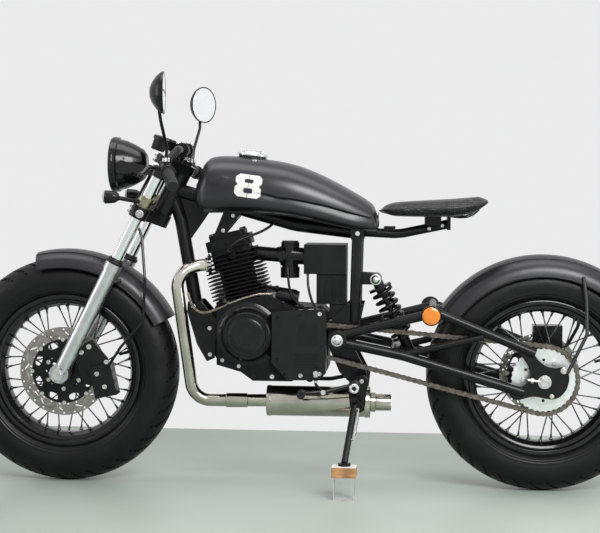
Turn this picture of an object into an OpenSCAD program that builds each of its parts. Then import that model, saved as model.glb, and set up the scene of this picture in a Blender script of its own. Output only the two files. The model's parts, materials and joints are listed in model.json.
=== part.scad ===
// Bobber motorcycle with a solo saddle, leaning to its left on a side stand that rests on a small block.
// Millimetres. X points forward, Y to the rider's left and Z up. The pieces are drawn upright with X
// measured from the rear axle, then leaned and moved so that the box of the whole stands over the origin.

/* [Stance] */
// Distance between the two wheel axles
wheelbase = 1340; // [1325:1:1360]
// Lean to the left on the side stand, in degrees
lean_deg = 3; // [2:0.25:4]
// Slope of the fork from upright, in degrees
rake_deg = 26.6; // [25.5:0.1:27.5]
// Distance of the fork legs in front of the steering axis
fork_offset = 42; // [39:0.5:46]

/* [Wheels] */
// Outer radius of both tyres
tyre_r = 320; // [314:1:324]
// Width of both tyres
tyre_w = 130; // [124:1:132]
// Radius of the rim where the tyre seats
rim_seat_r = 209; // [205:1:212]
// Depth of the rim from that seat in to its inner face, where the spokes end
rim_depth = 27; // [22:1:32]
// Width of the rim over its lips
rim_w = 96; // [90:1:100]
// Spokes of each wheel
spoke_count = 36; // [24:4:40]
// Radius of a spoke
spoke_r = 2; // [1.6:0.1:2.6]
// Radius of the hub flanges that hold the spokes
hub_flange_r = 50; // [46:1:56]
// Radius of the axles
axle_r = 8.5; // [8:0.5:10]
// Radius of the bore through the rear axle
axle_bore_r = 5; // [4:0.5:5.5]
// Radius of the front brake disc
front_disc_r = 125; // [118:1:130]
// Radius of the rear brake disc
rear_disc_r = 112; // [105:1:118]
// Thickness of the brake discs
disc_t = 4.5; // [3.5:0.5:6]

/* [Fork] */
// Distance of each fork leg from the middle
fork_y = 98; // [96:1:104]
// Radius of the chrome fork tubes
fork_tube_r = 16.5; // [15.5:0.5:18.5]
// Radius of the lower fork legs
slider_r = 22.5; // [21:0.5:23.5]
// Length of the lower fork legs above the axle
slider_len = 345; // [320:1:380]
// Height of the lower clamp along the fork, from the axle
low_clamp_s = 487; // [478:1:496]
// Height of the upper clamp along the fork, from the axle
top_clamp_s = 650; // [640:1:658]

/* [Bars and lamps] */
// Half of the width over the grips
bar_half_w = 352; // [330:1:365]
// Radius of the handlebar
bar_r = 11; // [10:0.5:12.7]
// Length of a grip
grip_len = 118; // [105:1:125]
// Radius of a grip
grip_r = 15.5; // [14.5:0.5:17]
// Radius of the headlamp ring
lamp_r = 77; // [72:1:82]
// Radius of a mirror
mirror_r = 55; // [48:1:58]
// Distance of each mirror from the middle
mirror_y = 346; // [338:1:352]
// Height of the mirrors
mirror_z = 1087; // [1070:1:1095]

/* [Frame] */
// Radius of the backbone tube
backbone_r = 20; // [18:0.5:22]
// Radius of the down tube
down_r = 19; // [17:0.5:21]
// Radius of the rear uprights
upright_r = 15; // [13:0.5:17]
// Distance of the swingarm tubes from the middle
arm_y = 115; // [113:1:120]
// Radius of the swingarm tubes
arm_r = 13; // [11:0.5:14]

/* [Engine] */
// Forward lean of the cylinder, in degrees
cyl_lean = 14; // [12:0.5:16]
// Length of the cooling fins from front to back
fin_l = 158; // [145:1:165]
// Width of the cooling fins
fin_w = 150; // [140:1:156]
// Cooling fins on the cylinder
fin_count = 8; // [6:1:9]
// Thickness of a cooling fin
fin_t = 3; // [2.4:0.2:3.6]

/* [Exhaust] */
// Radius of the exhaust pipe
pipe_r = 17.5; // [16:0.5:19]
// Radius of the silencer
muffler_r = 42; // [38:1:44]
// Length of the silencer
muffler_len = 292; // [270:1:305]

/* [Chain] */
// Pitch of the chain
chain_pitch = 15.875; // [12.7:0.005:15.875]
// Teeth of the rear sprocket
rear_teeth = 37; // [35:1:38]
// Teeth of the front sprocket
front_teeth = 16; // [15:1:17]
// Distance of the chain from the middle
chain_y = 80; // [79:0.5:83]

/* [Fenders] */
// Outer radius of the rear fender
rear_fender_r = 340; // [336:1:346]
// Outer radius of the front fender
front_fender_r = 344; // [338:1:346]
// Half of the width of the fenders
fender_half_w = 76; // [73:1:80]
// Thickness of the fender sheet
fender_t = 3; // [2:0.5:4]

/* [Side stand] */
// Radius of the stand's leg
stand_r = 9; // [8:0.5:10.5]
// Length of the stand's leg
stand_len = 181; // [176:1:186]

/* [Hidden] */
$fn = 48;
fit = 0.3;
run = 0.4;
crown_r = tyre_w / 2;
axle_z = tyre_r;
front_x = wheelbase;
box_mid_y = (mirror_z - crown_r) * sin(lean_deg);

// Places along the fork, measured from the front axle up the legs, and its clamps
slider_foot = 24;
low_clamp_h = 34;
top_clamp_h = 26;
fork_top_s = top_clamp_s + top_clamp_h + 8;
head_lo_s = low_clamp_s + low_clamp_h + 0.6;
head_hi_s = top_clamp_s - 0.6;
head_r = 27;
stem_r = 12.5;

// Wheel hubs: faces measured along the axle from the middle of the wheel
hub_r = 27;
flange_y = 34;
flange_t = 12;
spoke_row = 3;
disc_y = 58;
drive_y = chain_y - 3.5;
axle_end = arm_y + 22;
spoke_in_r = hub_flange_r - 6;
rim_lip_r = rim_seat_r + 7;
rim_bed_r = rim_seat_r - rim_depth;
nipple_r = rim_bed_r - 3 * fit;
rim_lip_t = 4;

// Chain run between the output shaft and the rear axle
shaft_x = 632;
shaft_z = 426;
rear_pitch_r = chain_pitch / 2 / sin(180 / rear_teeth);
front_pitch_r = chain_pitch / 2 / sin(180 / front_teeth);
chain_w = 17;
plate_pin_h = 7.4;
plate_mid_h = 5.6;
run_len = norm([shaft_x, shaft_z - axle_z]);
run_dir = atan2(shaft_z - axle_z, shaft_x);
taper = asin((rear_pitch_r - front_pitch_r) / run_len);
straight = run_len * cos(taper);
front_arc = front_pitch_r * (180 - 2 * taper) * PI / 180;
rear_arc = rear_pitch_r * (180 + 2 * taper) * PI / 180;
chain_len = 2 * straight + front_arc + rear_arc;
links = 2 * round(chain_len / chain_pitch / 2);

// Bars, dial, lamp and mirrors, carried by the upper clamp
bar_mid = fork_xz(-21, top_clamp_s + 58.4);
bar_out = fork_xz(-16, top_clamp_s + 10);
bar_end = fork_xz(-88, top_clamp_s - 15.4);
bar_kink_y = 114;
bar_out_y = 180;
lamp_x = fork_xz(140, top_clamp_s - 68)[0];
lamp_z = fork_xz(140, top_clamp_s - 68)[1];
ear_s = top_clamp_s - 25;
mirror_x = front_x - 336;
dial = on_fork(40, 0, top_clamp_s + 61.5);
dial_h = 36;

// Engine: crankshaft, then places along the cylinder and across it
crank_x = 812;
crank_z = 435;
case_y = 92;
case_right_y = -88;
cyl_base_v = 95;
fin_step = 10.5;
head_v = cyl_base_v + 12 + fin_count * fin_step;
cover_v = head_v + 52;
top_v = cover_v + 44;
port_v = head_v + 20;
case_front = 900;
lug_y = 40;
intake_r = 20;
port_flange_r = pipe_r + 12;
box_front = 661;

// Exhaust: middle and front end of the silencer
muffler_z = 243;
muffler_y = 34;
muffler_front = 766;
tail_len = 58;
tail_bore_r = 20;

// Frame joints: pivot of the swingarm, rear end of the backbone, seat of the spring leg
pivot = [563, 426];
plate_y = 52;
plate_t = 8;
back_x = 530;
upright_x = 513;
upright_y = 54;
shock_top = [462, 587];
shock_low = [360, 374];
cross_low = [405, 390];
seat_top = 32;
seat_bot = 62;
cross_top = [302, 513];
peg = [513, 304];
seat_low = 764;
neck_foot = [814, 0, 900];
neck_tilt = 6;
neck_len = 30;
cap_r = 44;

// Side stand: pivot, tilt of its pin and place of its foot
stand_pivot = [509, 120, 250];
stand_tilt = 35;
stand_toe = 25;
stand_axis = [sin(stand_toe) * cos(stand_tilt), cos(stand_toe) * cos(stand_tilt), sin(stand_tilt)];
stand_down = [0.127, sin(stand_tilt) * 0.992, -cos(stand_tilt) * 0.992];
lug_t = 2 * stand_r + 2;
stand_start = stand_pivot + stand_axis * (lug_t / 2 + 0.6);
stand_foot = stand_start + stand_down * stand_len;
pad_h = 7;
foot_world = leaned(stand_foot);
block_h = foot_world[2] - pad_h;
wood_h = 28;

function unit(v) = v / norm(v);

// A place in the upright machine, carried along by the lean
function leaned(p) = [
    p[0],
    p[1] * cos(lean_deg) + (p[2] - crown_r) * sin(lean_deg),
    crown_r - p[1] * sin(lean_deg) + (p[2] - crown_r) * cos(lean_deg)
];

// A place on the fork: forward of the legs, sideways, and up along them from the axle
function on_fork(x, y, s) = [
    front_x + x * cos(rake_deg) - s * sin(rake_deg),
    y,
    axle_z + x * sin(rake_deg) + s * cos(rake_deg)
];

function fork_xz(x, s) = [on_fork(x, 0, s)[0], on_fork(x, 0, s)[2]];

// A place on the engine: forward across the cylinder and up along it from the crankshaft
function on_engine(u, v) = [
    crank_x + u * cos(cyl_lean) + v * sin(cyl_lean),
    crank_z - u * sin(cyl_lean) + v * cos(cyl_lean)
];

// Place on the chain's pitch line at a length along it, moved outward by off
function around(c, r, a) = [c[0] + r * cos(a), c[1] + r * sin(a)];
function chain_at(s, off) =
    let(up = run_dir + 90 - taper, down = run_dir - 90 + taper)
    let(back = [0, axle_z], front = [shaft_x, shaft_z])
    s < straight
        ? around(back, rear_pitch_r + off, up) + s * [cos(up - 90), sin(up - 90)]
    : s < straight + front_arc
        ? around(front, front_pitch_r + off, up - (s - straight) / front_pitch_r * 180 / PI)
    : s < 2 * straight + front_arc
        ? around(front, front_pitch_r + off, down)
            + (s - straight - front_arc) * [cos(down - 90), sin(down - 90)]
    : around(back, rear_pitch_r + off, down - (s - 2 * straight - front_arc) / rear_pitch_r * 180 / PI);

// Steps of a tube's route: turn at a corner, places round its bend with their direction, then all of them
function turn(p, i) = acos(unit(p[i] - p[i - 1]) * unit(p[i + 1] - p[i]));
function bend_steps(p, i, bend_r) =
    let(d1 = unit(p[i] - p[i - 1]), d2 = unit(p[i + 1] - p[i]), a = turn(p, i))
    let(inward = unit(d2 - d1 * (d1 * d2)), n = max(1, ceil(a / 15)))
    let(mid = p[i] - d1 * bend_r * tan(a / 2) + inward * bend_r)
    [for (k = [0 : n]) let(q = a * k / n)
        [mid - inward * bend_r * cos(q) + d1 * bend_r * sin(q), d1 * cos(q) + inward * sin(q)]];
function route(p, bend_r) = let(n = len(p) - 1) concat(
    [[p[0], unit(p[1] - p[0])]],
    n < 2 ? [] : [for (i = [1 : n - 1]) if (turn(p, i) > 0.5) each bend_steps(p, i, bend_r)],
    [[p[n], unit(p[n] - p[n - 1])]]
);
function cross_way(steps) = let(most = [for (k = [0 : 2]) max([for (q = steps) abs(q[1][k])])])
    most[1] <= min(most[0], most[2]) ? [0, 1, 0] : most[0] <= most[2] ? [1, 0, 0] : [0, 0, 1];

// One ring of a moulded body: flat bottom, rounded shoulders and crown
function section_ring(x, w, top, low, sides) = [
    for (k = [0 : sides - 1])
        let(a = -360 * k / sides, c = cos(a), s = sin(a), mid = low + (top - low) * 0.42)
        [x, w * sign(c) * pow(abs(c), 0.72), s > 0 ? mid + (top - mid) * pow(s, 0.9)
            : mid - (mid - low) * pow(-s, 0.45)]
];

module place() translate([-wheelbase / 2, -box_mid_y, 0]) children();

module leaning() {
    place() translate([0, 0, crown_r]) rotate([-lean_deg, 0, 0]) translate([0, 0, -crown_r]) children();
}

// Round bar from a to b
module rod(a, b, r) {
    v = b - a;
    translate(a) rotate([0, acos(v[2] / norm(v)), atan2(v[1], v[0])]) cylinder(h = norm(v), r = r);
}

// Round tube along a route, with a bend at each corner
module tube(p, r, bend_r, sides = 12) {
    steps = route(p, bend_r);
    way = cross_way(steps);
    loft([for (q = steps) let(x = unit(cross(way, q[1])), y = cross(q[1], x))
        [for (k = [0 : sides - 1]) q[0] + r * (cos(360 * k / sides) * x + sin(360 * k / sides) * y)]]);
}

// Plate with a side outline in X and Z, from y0 towards the left by t
module side_plate(y0, t) {
    translate([0, y0 + t, 0]) rotate([90, 0, 0]) linear_extrude(height = t) children();
}

// Round piece along Y at a place in X and Z
module y_round(c, y0, y1, r) {
    translate([c[0], y1, c[1]]) rotate([90, 0, 0]) cylinder(h = y1 - y0, r = r);
}

// Body through a row of rings
module loft(rings) {
    n = len(rings[0]);
    m = len(rings);
    polyhedron(
        points = [for (ring = rings) for (q = ring) q],
        faces = concat(
            [[for (k = [0 : n - 1]) k]],
            [[for (k = [n - 1 : -1 : 0]) (m - 1) * n + k]],
            [for (j = [0 : m - 2]) for (k = [0 : n - 1])
                [j * n + k, (j + 1) * n + k, (j + 1) * n + (k + 1) % n, j * n + (k + 1) % n]]
        )
    );
}

module pill(l, w, r) {
    square([l, w - 2 * r], center = true);
    square([l - 2 * r, w], center = true);
    for (x = [-1, 1], y = [-1, 1]) translate([x * (l / 2 - r), y * (w / 2 - r)]) circle(r);
}

module fork_frame() translate([front_x, 0, axle_z]) rotate([0, -rake_deg, 0]) children();

module engine_frame() translate([crank_x, 0, crank_z]) rotate([0, cyl_lean, 0]) children();

module filler_frame() translate(neck_foot) rotate([0, -neck_tilt, 0]) children();

module at_wheel(x) translate([x, 0, axle_z]) rotate([-90, 0, 0]) children();

// Wheels

module tyre() {
    rotate_extrude() difference() {
        translate([tyre_r - crown_r, 0]) circle(crown_r);
        translate([0, -tyre_w]) square([rim_seat_r + fit, 2 * tyre_w]);
        for (m = [0, 1]) mirror([0, m])
            translate([0, rim_w / 2 - rim_lip_t - fit]) square([rim_lip_r + fit, tyre_w]);
    }
}

module rim() {
    h = rim_w / 2;
    half = [[rim_bed_r, h - 26], [rim_bed_r + 9, h - 9], [rim_seat_r - 7, h], [rim_lip_r, h],
        [rim_lip_r, h - rim_lip_t], [rim_seat_r, h - rim_lip_t], [rim_seat_r, h - 16],
        [rim_bed_r + 8, h - 26]];
    rotate_extrude() polygon(concat(half, [for (i = [len(half) - 1 : -1 : 0]) [half[i][0], -half[i][1]]]));
}

// Hub with its crossing spokes; the boss reaches out to the given faces on either side
module hub(left_y, right_y, boss_r) {
    difference() {
        union() {
            translate([0, 0, -right_y]) cylinder(h = left_y + right_y, r = hub_r);
            for (m = [0, 1]) mirror([0, 0, m])
                translate([0, 0, flange_y - flange_t / 2]) cylinder(h = flange_t, r = hub_flange_r);
            translate([0, 0, flange_y]) cylinder(h = left_y - flange_y, r = boss_r);
            translate([0, 0, -right_y]) cylinder(h = right_y - flange_y, r = boss_r);
            spokes();
        }
        translate([0, 0, -right_y - 1]) cylinder(h = left_y + right_y + 2, r = axle_r + run);
    }
}

module spokes() {
    step = 360 / spoke_count;
    for (k = [0 : spoke_count - 1]) {
        side = k % 2 == 0 ? 1 : -1;
        way = floor(k / 2) % 2 == 0 ? 1 : -1;
        a = k * step;
        b = a - way * 58;
        rod([spoke_in_r * cos(b), spoke_in_r * sin(b), side * flange_y + way * spoke_row],
            [nipple_r * cos(a), nipple_r * sin(a), side * 10 + way * spoke_row], spoke_r);
    }
}

module disc(r, seat_r) {
    difference() {
        cylinder(h = disc_t, r = r);
        translate([0, 0, -1]) cylinder(h = disc_t + 2, r = axle_r + run);
        for (k = [0 : 5]) rotate(60 * k + 30) translate([(r + seat_r) / 2 - 8, 0, -1])
            cylinder(h = disc_t + 2, r = 12);
    }
}

module front_tyre() { color("#1c1c1d") leaning() at_wheel(front_x) tyre(); }
module rear_tyre() { color("#1c1c1d") leaning() at_wheel(0) tyre(); }
module front_rim() { color("#151516") leaning() at_wheel(front_x) rim(); }
module rear_rim() { color("#151516") leaning() at_wheel(0) rim(); }

module front_hub() { color("#222224") leaning() at_wheel(front_x) hub(disc_y, disc_y, 40); }

module rear_hub() {
    color("#222224") leaning() at_wheel(0) hub(drive_y, disc_y, 42);
}

module front_disc() {
    color("#9a9b9c") leaning() translate([front_x, disc_y, axle_z]) rotate([-90, 0, 0])
        disc(front_disc_r, 62);
}

module rear_disc() {
    color("#9a9b9c") leaning() translate([0, -disc_y - disc_t, axle_z]) rotate([-90, 0, 0])
        disc(rear_disc_r, 58);
}

module rear_sprocket() {
    r = rear_pitch_r - plate_pin_h - 1.2;
    color("#c9cacc") leaning() translate([0, drive_y, axle_z]) rotate([-90, 0, 0]) difference() {
        cylinder(h = 7, r = r);
        translate([0, 0, -1]) cylinder(h = 9, r = axle_r + run);
        for (k = [0 : 4]) rotate(72 * k) translate([(r + 42) / 2, 0, -1]) cylinder(h = 9, r = 8);
    }
}

// Fork, bars and lamps

module fork_clamps() {
    color("#161617") leaning() fork_frame() {
        for (c = [[low_clamp_s, low_clamp_h], [top_clamp_s, top_clamp_h]]) translate([0, 0, c[0]])
            difference() {
                union() {
                    for (m = [-1, 1])
                        translate([0, m * fork_y, 0]) cylinder(h = c[1], r = fork_tube_r + 9);
                    translate([-fork_offset, 0, 0]) cylinder(h = c[1], r = head_r + 3);
                    linear_extrude(height = c[1]) polygon([[-fork_offset - 16, -24], [-6, -fork_y],
                        [14, -fork_y + 8], [16, 0], [14, fork_y - 8], [-6, fork_y],
                        [-fork_offset - 16, 24]]);
                }
                for (m = [-1, 1]) translate([0, m * fork_y, -1])
                    cylinder(h = c[1] + 2, r = fork_tube_r + fit);
            }
        translate([-fork_offset, 0, low_clamp_s + low_clamp_h])
            cylinder(h = top_clamp_s - low_clamp_s - low_clamp_h, r = stem_r);
        translate([-fork_offset, 0, top_clamp_s + top_clamp_h]) cylinder(h = 9, r = 16, $fn = 6);
    }
}

module fork_tubes() {
    color("#d4d6d8") leaning() fork_frame() for (m = [-1, 1]) translate([0, m * fork_y, 0]) {
        translate([0, 0, slider_len]) cylinder(h = fork_top_s - slider_len, r = fork_tube_r);
        translate([0, 0, fork_top_s]) cylinder(h = 7, r = fork_tube_r - 3, $fn = 6);
    }
}

module fork_sliders() {
    color("#b9bbbd") leaning() fork_frame() {
        for (m = [-1, 1]) translate([0, m * fork_y, 0]) {
            translate([0, 0, -slider_foot]) cylinder(h = slider_len + slider_foot - 22, r = slider_r);
            translate([0, 0, slider_len - 22]) cylinder(h = 22, r = slider_r + 2.5);
            rotate([90, 0, 0]) translate([0, 0, -slider_r + 3]) cylinder(h = 2 * slider_r - 6, r = 27);
        }
        rotate([90, 0, 0]) cylinder(h = 2 * fork_y + 44, r = axle_r, center = true);
        for (m = [-1, 1]) rotate([m * 90, 0, 0]) translate([0, 0, disc_y + disc_t + 1])
            cylinder(h = fork_y - disc_y - disc_t - 6, r = 14);
        for (m = [-1, 1]) rotate([m * 90, 0, 0]) translate([0, 0, fork_y + slider_r - 3])
            cylinder(h = 12, r = 14, $fn = 6);
    }
}

// Fender sheet with a rounded crown, turned about the axle through the given angles
module fender_sheet(r, half_w, a0, a1, skirt_r) {
    steps = 10;
    out = [for (k = [-steps : steps]) let(a = 90 * k / steps)
        [skirt_r + (r - skirt_r) * pow(cos(a), 0.8), half_w * sin(a)]];
    inn = [for (k = [steps : -1 : -steps]) let(a = 90 * k / steps)
        [skirt_r + (r - fender_t - skirt_r) * pow(cos(a), 0.8), (half_w - fender_t) * sin(a)]];
    rotate([90, 0, 0]) rotate(a0) rotate_extrude(angle = a1 - a0) polygon(concat(out, inn));
}

module front_fender() {
    color("#19191a") leaning() {
        translate([front_x, 0, axle_z])
            fender_sheet(front_fender_r, min(fender_half_w, fork_y - slider_r - 1.2), 76, 153, 292);
        for (m = [-1, 1]) {
            tab = on_fork(-slider_r + 2, m * (fork_y - 8), 296);
            difference() {
                rod(tab, tab + [-16, -m * 15.5, 4], 5);
                fork_frame() translate([0, m * fork_y, 0]) cylinder(h = 400, r = slider_r + fit);
            }
        }
    }
}

module front_brake() {
    inner = disc_y - 5;
    outer = disc_y + disc_t + 5;
    lug_out = fork_y - slider_r - fit;
    color("#1d1d1e") leaning() {
        difference() {
            union() {
                translate([front_x - 117, 0, axle_z - 22]) rotate([0, 12, 0])
                    translate([-32, inner - 11, -46]) cube([62, outer - inner + 34, 92]);
                side_plate(outer, lug_out - outer) polygon([[front_x - 140, axle_z - 50],
                    [front_x - 130, axle_z + 40], [front_x - 84, axle_z + 92], [front_x - 44, axle_z + 70],
                    [front_x - 40, axle_z + 24], [front_x - 62, axle_z - 34]]);
            }
            translate([front_x, inner, axle_z]) rotate([-90, 0, 0])
                cylinder(h = outer - inner, r = front_disc_r + 5);
            fork_frame() translate([0, fork_y, -80]) cylinder(h = 400, r = slider_r + fit);
            fork_frame() translate([0, fork_y, 0]) rotate([90, 0, 0])
                cylinder(h = 60, r = 27 + fit, center = true);
        }
        tube(hose_path(), 4, 20, 8);
    }
}

// Route of the brake hose: caliper, behind the left leg, in front of the head tube, over the right leg
function hose_path() = let(m = flip(grip_end() - grip_axis() * (grip_len + 26), -1)) [
    [front_x - 128, fork_y - 8, axle_z + 10], [front_x - 172, fork_y + 8, axle_z + 75],
    [front_x - 236, fork_y + 2, axle_z + 150], [front_x - 240, fork_y, axle_z + 270],
    on_fork(-30, fork_y - 36, low_clamp_s - 45), on_fork(32, 46, low_clamp_s + 10),
    on_fork(34, 12, top_clamp_s - 30), on_fork(38, -54, top_clamp_s + 22),
    [bar_mid[0] + 50, -fork_y - 22, bar_mid[1] + 18], m + [34, 78, 20], m + [30, 44.4, 6]];

module headlamp() {
    color("#141415") leaning() translate([lamp_x, 0, lamp_z]) rotate([0, 90, 0]) rotate_extrude()
        polygon([[0, -94], [30, -93], [43, -84], [56, -62], [lamp_r - 10, -38], [lamp_r - 5, -18],
            [lamp_r, -15], [lamp_r, -2], [lamp_r - 8, 0], [lamp_r - 8, -8], [0, -8]]);
    color("#141415") leaning() for (m = [-1, 1]) {
        ear = on_fork(0, m * fork_y, ear_s);
        difference() {
            union() {
                fork_frame() translate([0, m * fork_y, ear_s - 12]) cylinder(h = 24, r = fork_tube_r + 4);
                side_plate(m > 0 ? lamp_r - 2 : -lamp_r - 3, 5) polygon([[ear[0] + 8, ear[2] - 10],
                    [ear[0] + 8, ear[2] + 14], [lamp_x - 30, lamp_z + 12], [lamp_x - 30, lamp_z - 12]]);
                mirror([0, m < 0 ? 1 : 0, 0]) y_round([lamp_x - 36, lamp_z], lamp_r - 12, lamp_r + 3, 12);
            }
            fork_frame() translate([0, m * fork_y, 0]) cylinder(h = 900, r = fork_tube_r + fit);
        }
    }
}

module headlamp_lens() {
    color("#e6e9ea") leaning() translate([lamp_x, 0, lamp_z]) rotate([0, 90, 0]) rotate_extrude()
        polygon([[0, -8 + fit], [lamp_r - 8 - fit, -8 + fit], [lamp_r - 8 - fit, 0], [lamp_r - 22, 7],
            [lamp_r - 44, 11], [0, 13]]);
}

function grip_axis() = unit([bar_end[0] - bar_out[0], bar_half_w - bar_out_y, bar_end[1] - bar_out[1]]);
function grip_end() = [bar_end[0], bar_half_w, bar_end[1]];
function flip(p, m) = [p[0], m * p[1], p[2]];

// Turn of each mirror toward the rider: the left one looks almost straight back
function mirror_turn(m) = m > 0 ? 6 : -33;

module handlebar() {
    g = grip_axis();
    e = grip_end();
    perch = e - g * (grip_len + 26);
    color("#1a1a1b") leaning() {
        tube([flip(e - g * 2, -1), [bar_out[0], -bar_out_y, bar_out[1]],
            [bar_mid[0], -bar_kink_y, bar_mid[1]], [bar_mid[0], bar_kink_y, bar_mid[1]],
            [bar_out[0], bar_out_y, bar_out[1]], e - g * 2], bar_r, 34);
        for (m = [-1, 1]) {
            top = on_fork(-fork_offset + 20, m * 38, top_clamp_s + top_clamp_h);
            difference() {
                rod(top, [bar_mid[0], m * 38, bar_mid[1]], 13);
                fork_frame() translate([-100, -100, top_clamp_s + top_clamp_h - 40]) cube([200, 200, 40]);
            }
            y_round(bar_mid, m * 38 - 13, m * 38 + 13, bar_r + 8);
            rod(flip(perch - g * 9, m), flip(perch + g * 9, m), bar_r + 6);
            rod(flip(perch - g * 38, m), flip(perch - g * 12, m), bar_r + 5);
            rod(flip(perch, m), flip(perch + [30, -4, 4], m), 8);
            tube([flip(perch + [28, -6, 4], m), flip(perch + [46, 20, 4], m),
                flip(perch + [44, 128, -16], m)], 5, 12);
            translate(flip(perch + [44, 128, -16], m)) sphere(8);
        }
        rod(flip(perch + [30, -44, 6], -1), flip(perch + [26, 16, 4], -1), 10);
        rod(flip(perch + [8, -28, 9], -1), flip(perch + [4, -28, 58], -1), 10);
    }
}

module grips() {
    g = grip_axis();
    e = grip_end();
    color("#202022") leaning() for (m = [-1, 1]) difference() {
        union() {
            rod(flip(e - g * grip_len, m), flip(e, m), grip_r);
            rod(flip(e - g * grip_len, m), flip(e - g * (grip_len - 6), m), grip_r + 5);
            rod(flip(e - g * 1, m), flip(e + g * 8, m), grip_r - 1);
        }
        rod(flip(e - g * (grip_len + 5), m), flip(e - g * 1.6, m), bar_r + fit);
    }
}

module mirrors() {
    g = grip_axis();
    e = grip_end();
    perch = e - g * (grip_len + 26);
    color("#151516") leaning() for (m = [-1, 1]) {
        foot = perch + [0, 0, bar_r + 2];
        difference() {
            union() {
                tube([flip(foot, m), flip(foot + [-3, 8, 46], m),
                    flip([mirror_x + 8, mirror_y - 16, mirror_z - 72], m),
                    flip([mirror_x + 10, mirror_y, mirror_z - 40], m)], 4.5, 14);
                rod(flip(foot, m), flip(foot + [0, 0, 18], m), 9);
            }
            rod(flip(perch - g * 30, m), flip(perch + g * 30, m), bar_r + 6 + fit);
        }
        translate([mirror_x, m * mirror_y, mirror_z]) rotate([0, 90, mirror_turn(m)]) difference() {
            rotate_extrude() polygon([[0, 34], [14, 33], [28, 27], [mirror_r - 12, 16], [mirror_r - 2, 4],
                [mirror_r, -4], [0, -4]]);
            translate([0, 0, -5]) cylinder(h = 4.5, r = mirror_r - 3);
        }
    }
}

module mirror_glass() {
    color("#c8d0d4") leaning() for (m = [-1, 1])
        translate([mirror_x, m * mirror_y, mirror_z]) rotate([0, 90, mirror_turn(m)])
            translate([0, 0, -3.5]) cylinder(h = 3, r = mirror_r - 3 - fit);
}

module speedometer() {
    color("#1b1b1d") leaning() {
        translate(dial) rotate([0, -19, 0]) {
            translate([0, 0, -dial_h]) cylinder(h = dial_h, r = 33);
            translate([0, 0, -6]) cylinder(h = 8, r = 36);
        }
        difference() {
            rod(dial + [3, 0, -28], on_fork(4, 0, top_clamp_s + top_clamp_h - 20), 10);
            fork_frame() translate([-100, -60, top_clamp_s + top_clamp_h - 60]) cube([200, 120, 60 + fit]);
        }
    }
}

module front_indicators() {
    color("#19191a") leaning() for (m = [-1, 1]) {
        base = on_fork(0, m * fork_y, low_clamp_s + low_clamp_h + 16);
        difference() {
            union() {
                fork_frame() translate([0, m * fork_y, low_clamp_s + low_clamp_h + 8])
                    cylinder(h = 16, r = fork_tube_r + 4);
                rod(base + [8, m * 12, 0], base + [78, m * 52, 14], 6);
            }
            fork_frame() translate([0, m * fork_y, 0]) cylinder(h = 900, r = fork_tube_r + fit);
        }
        translate(base + [66, m * 52, 14]) rotate([0, 90, 0]) rotate_extrude()
            polygon([[0, -6], [10, -4], [16, 6], [18, 22], [18, 32], [14, 38], [0, 40]]);
    }
}

// Frame

module head_tube(r) {
    fork_frame() translate([-fork_offset, 0, head_lo_s]) cylinder(h = head_hi_s - head_lo_s, r = r);
}

function backbone_path() = [on_fork(-fork_offset, 0, (head_lo_s + head_hi_s) / 2 + 12), [690, 0, 738],
    [back_x - 20, 0, 717]];

// Route of the down tube: from the head tube, round behind the lower clamp, to the engine's front lug
function down_path() = [on_fork(-fork_offset, 0, head_lo_s + 66),
    on_fork(-fork_offset - 59, 0, head_lo_s + 6), [970, 0, 500]];

module frame_front() {
    knee = down_path()[1];
    mid = on_fork(-fork_offset, 0, (head_lo_s + head_hi_s) / 2);
    color("#17171a") leaning() difference() {
        union() {
            head_tube(head_r);
            tube(backbone_path(), backbone_r, 120, 16);
            tube(down_path(), down_r, 60, 16);
            side_plate(-4, 8) polygon([[mid[0] - 15, mid[2]], [knee[0], knee[2]],
                [knee[0] - 22, knee[2] - 60], [knee[0] - 70, knee[2] + 8], [knee[0] - 92, mid[2] - 36]]);
            for (m = [-1, 1]) {
                side_plate(m > 0 ? lug_y : -lug_y - 6, 6) polygon([[988, 520], [952, 522], [906, 470],
                    [912, 362], [934, 352], [962, 400], [990, 492]]);
                side_plate(m > 0 ? 26 : -32, 6) polygon([[838, 770], [886, 780], on_engine(36, top_v + fit),
                    on_engine(4, top_v + fit)]);
            }
            y_round([970, 507], -lug_y - 6, lug_y + 6, 14);
            y_round([862, 762], -32, 32, 12);
        }
        fork_frame() translate([-fork_offset, 0, head_lo_s - 50]) cylinder(h = 300, r = stem_r + run);
        translate([back_x - 100, -50, 650]) cube([100, 100, 150]);
    }
}

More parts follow.
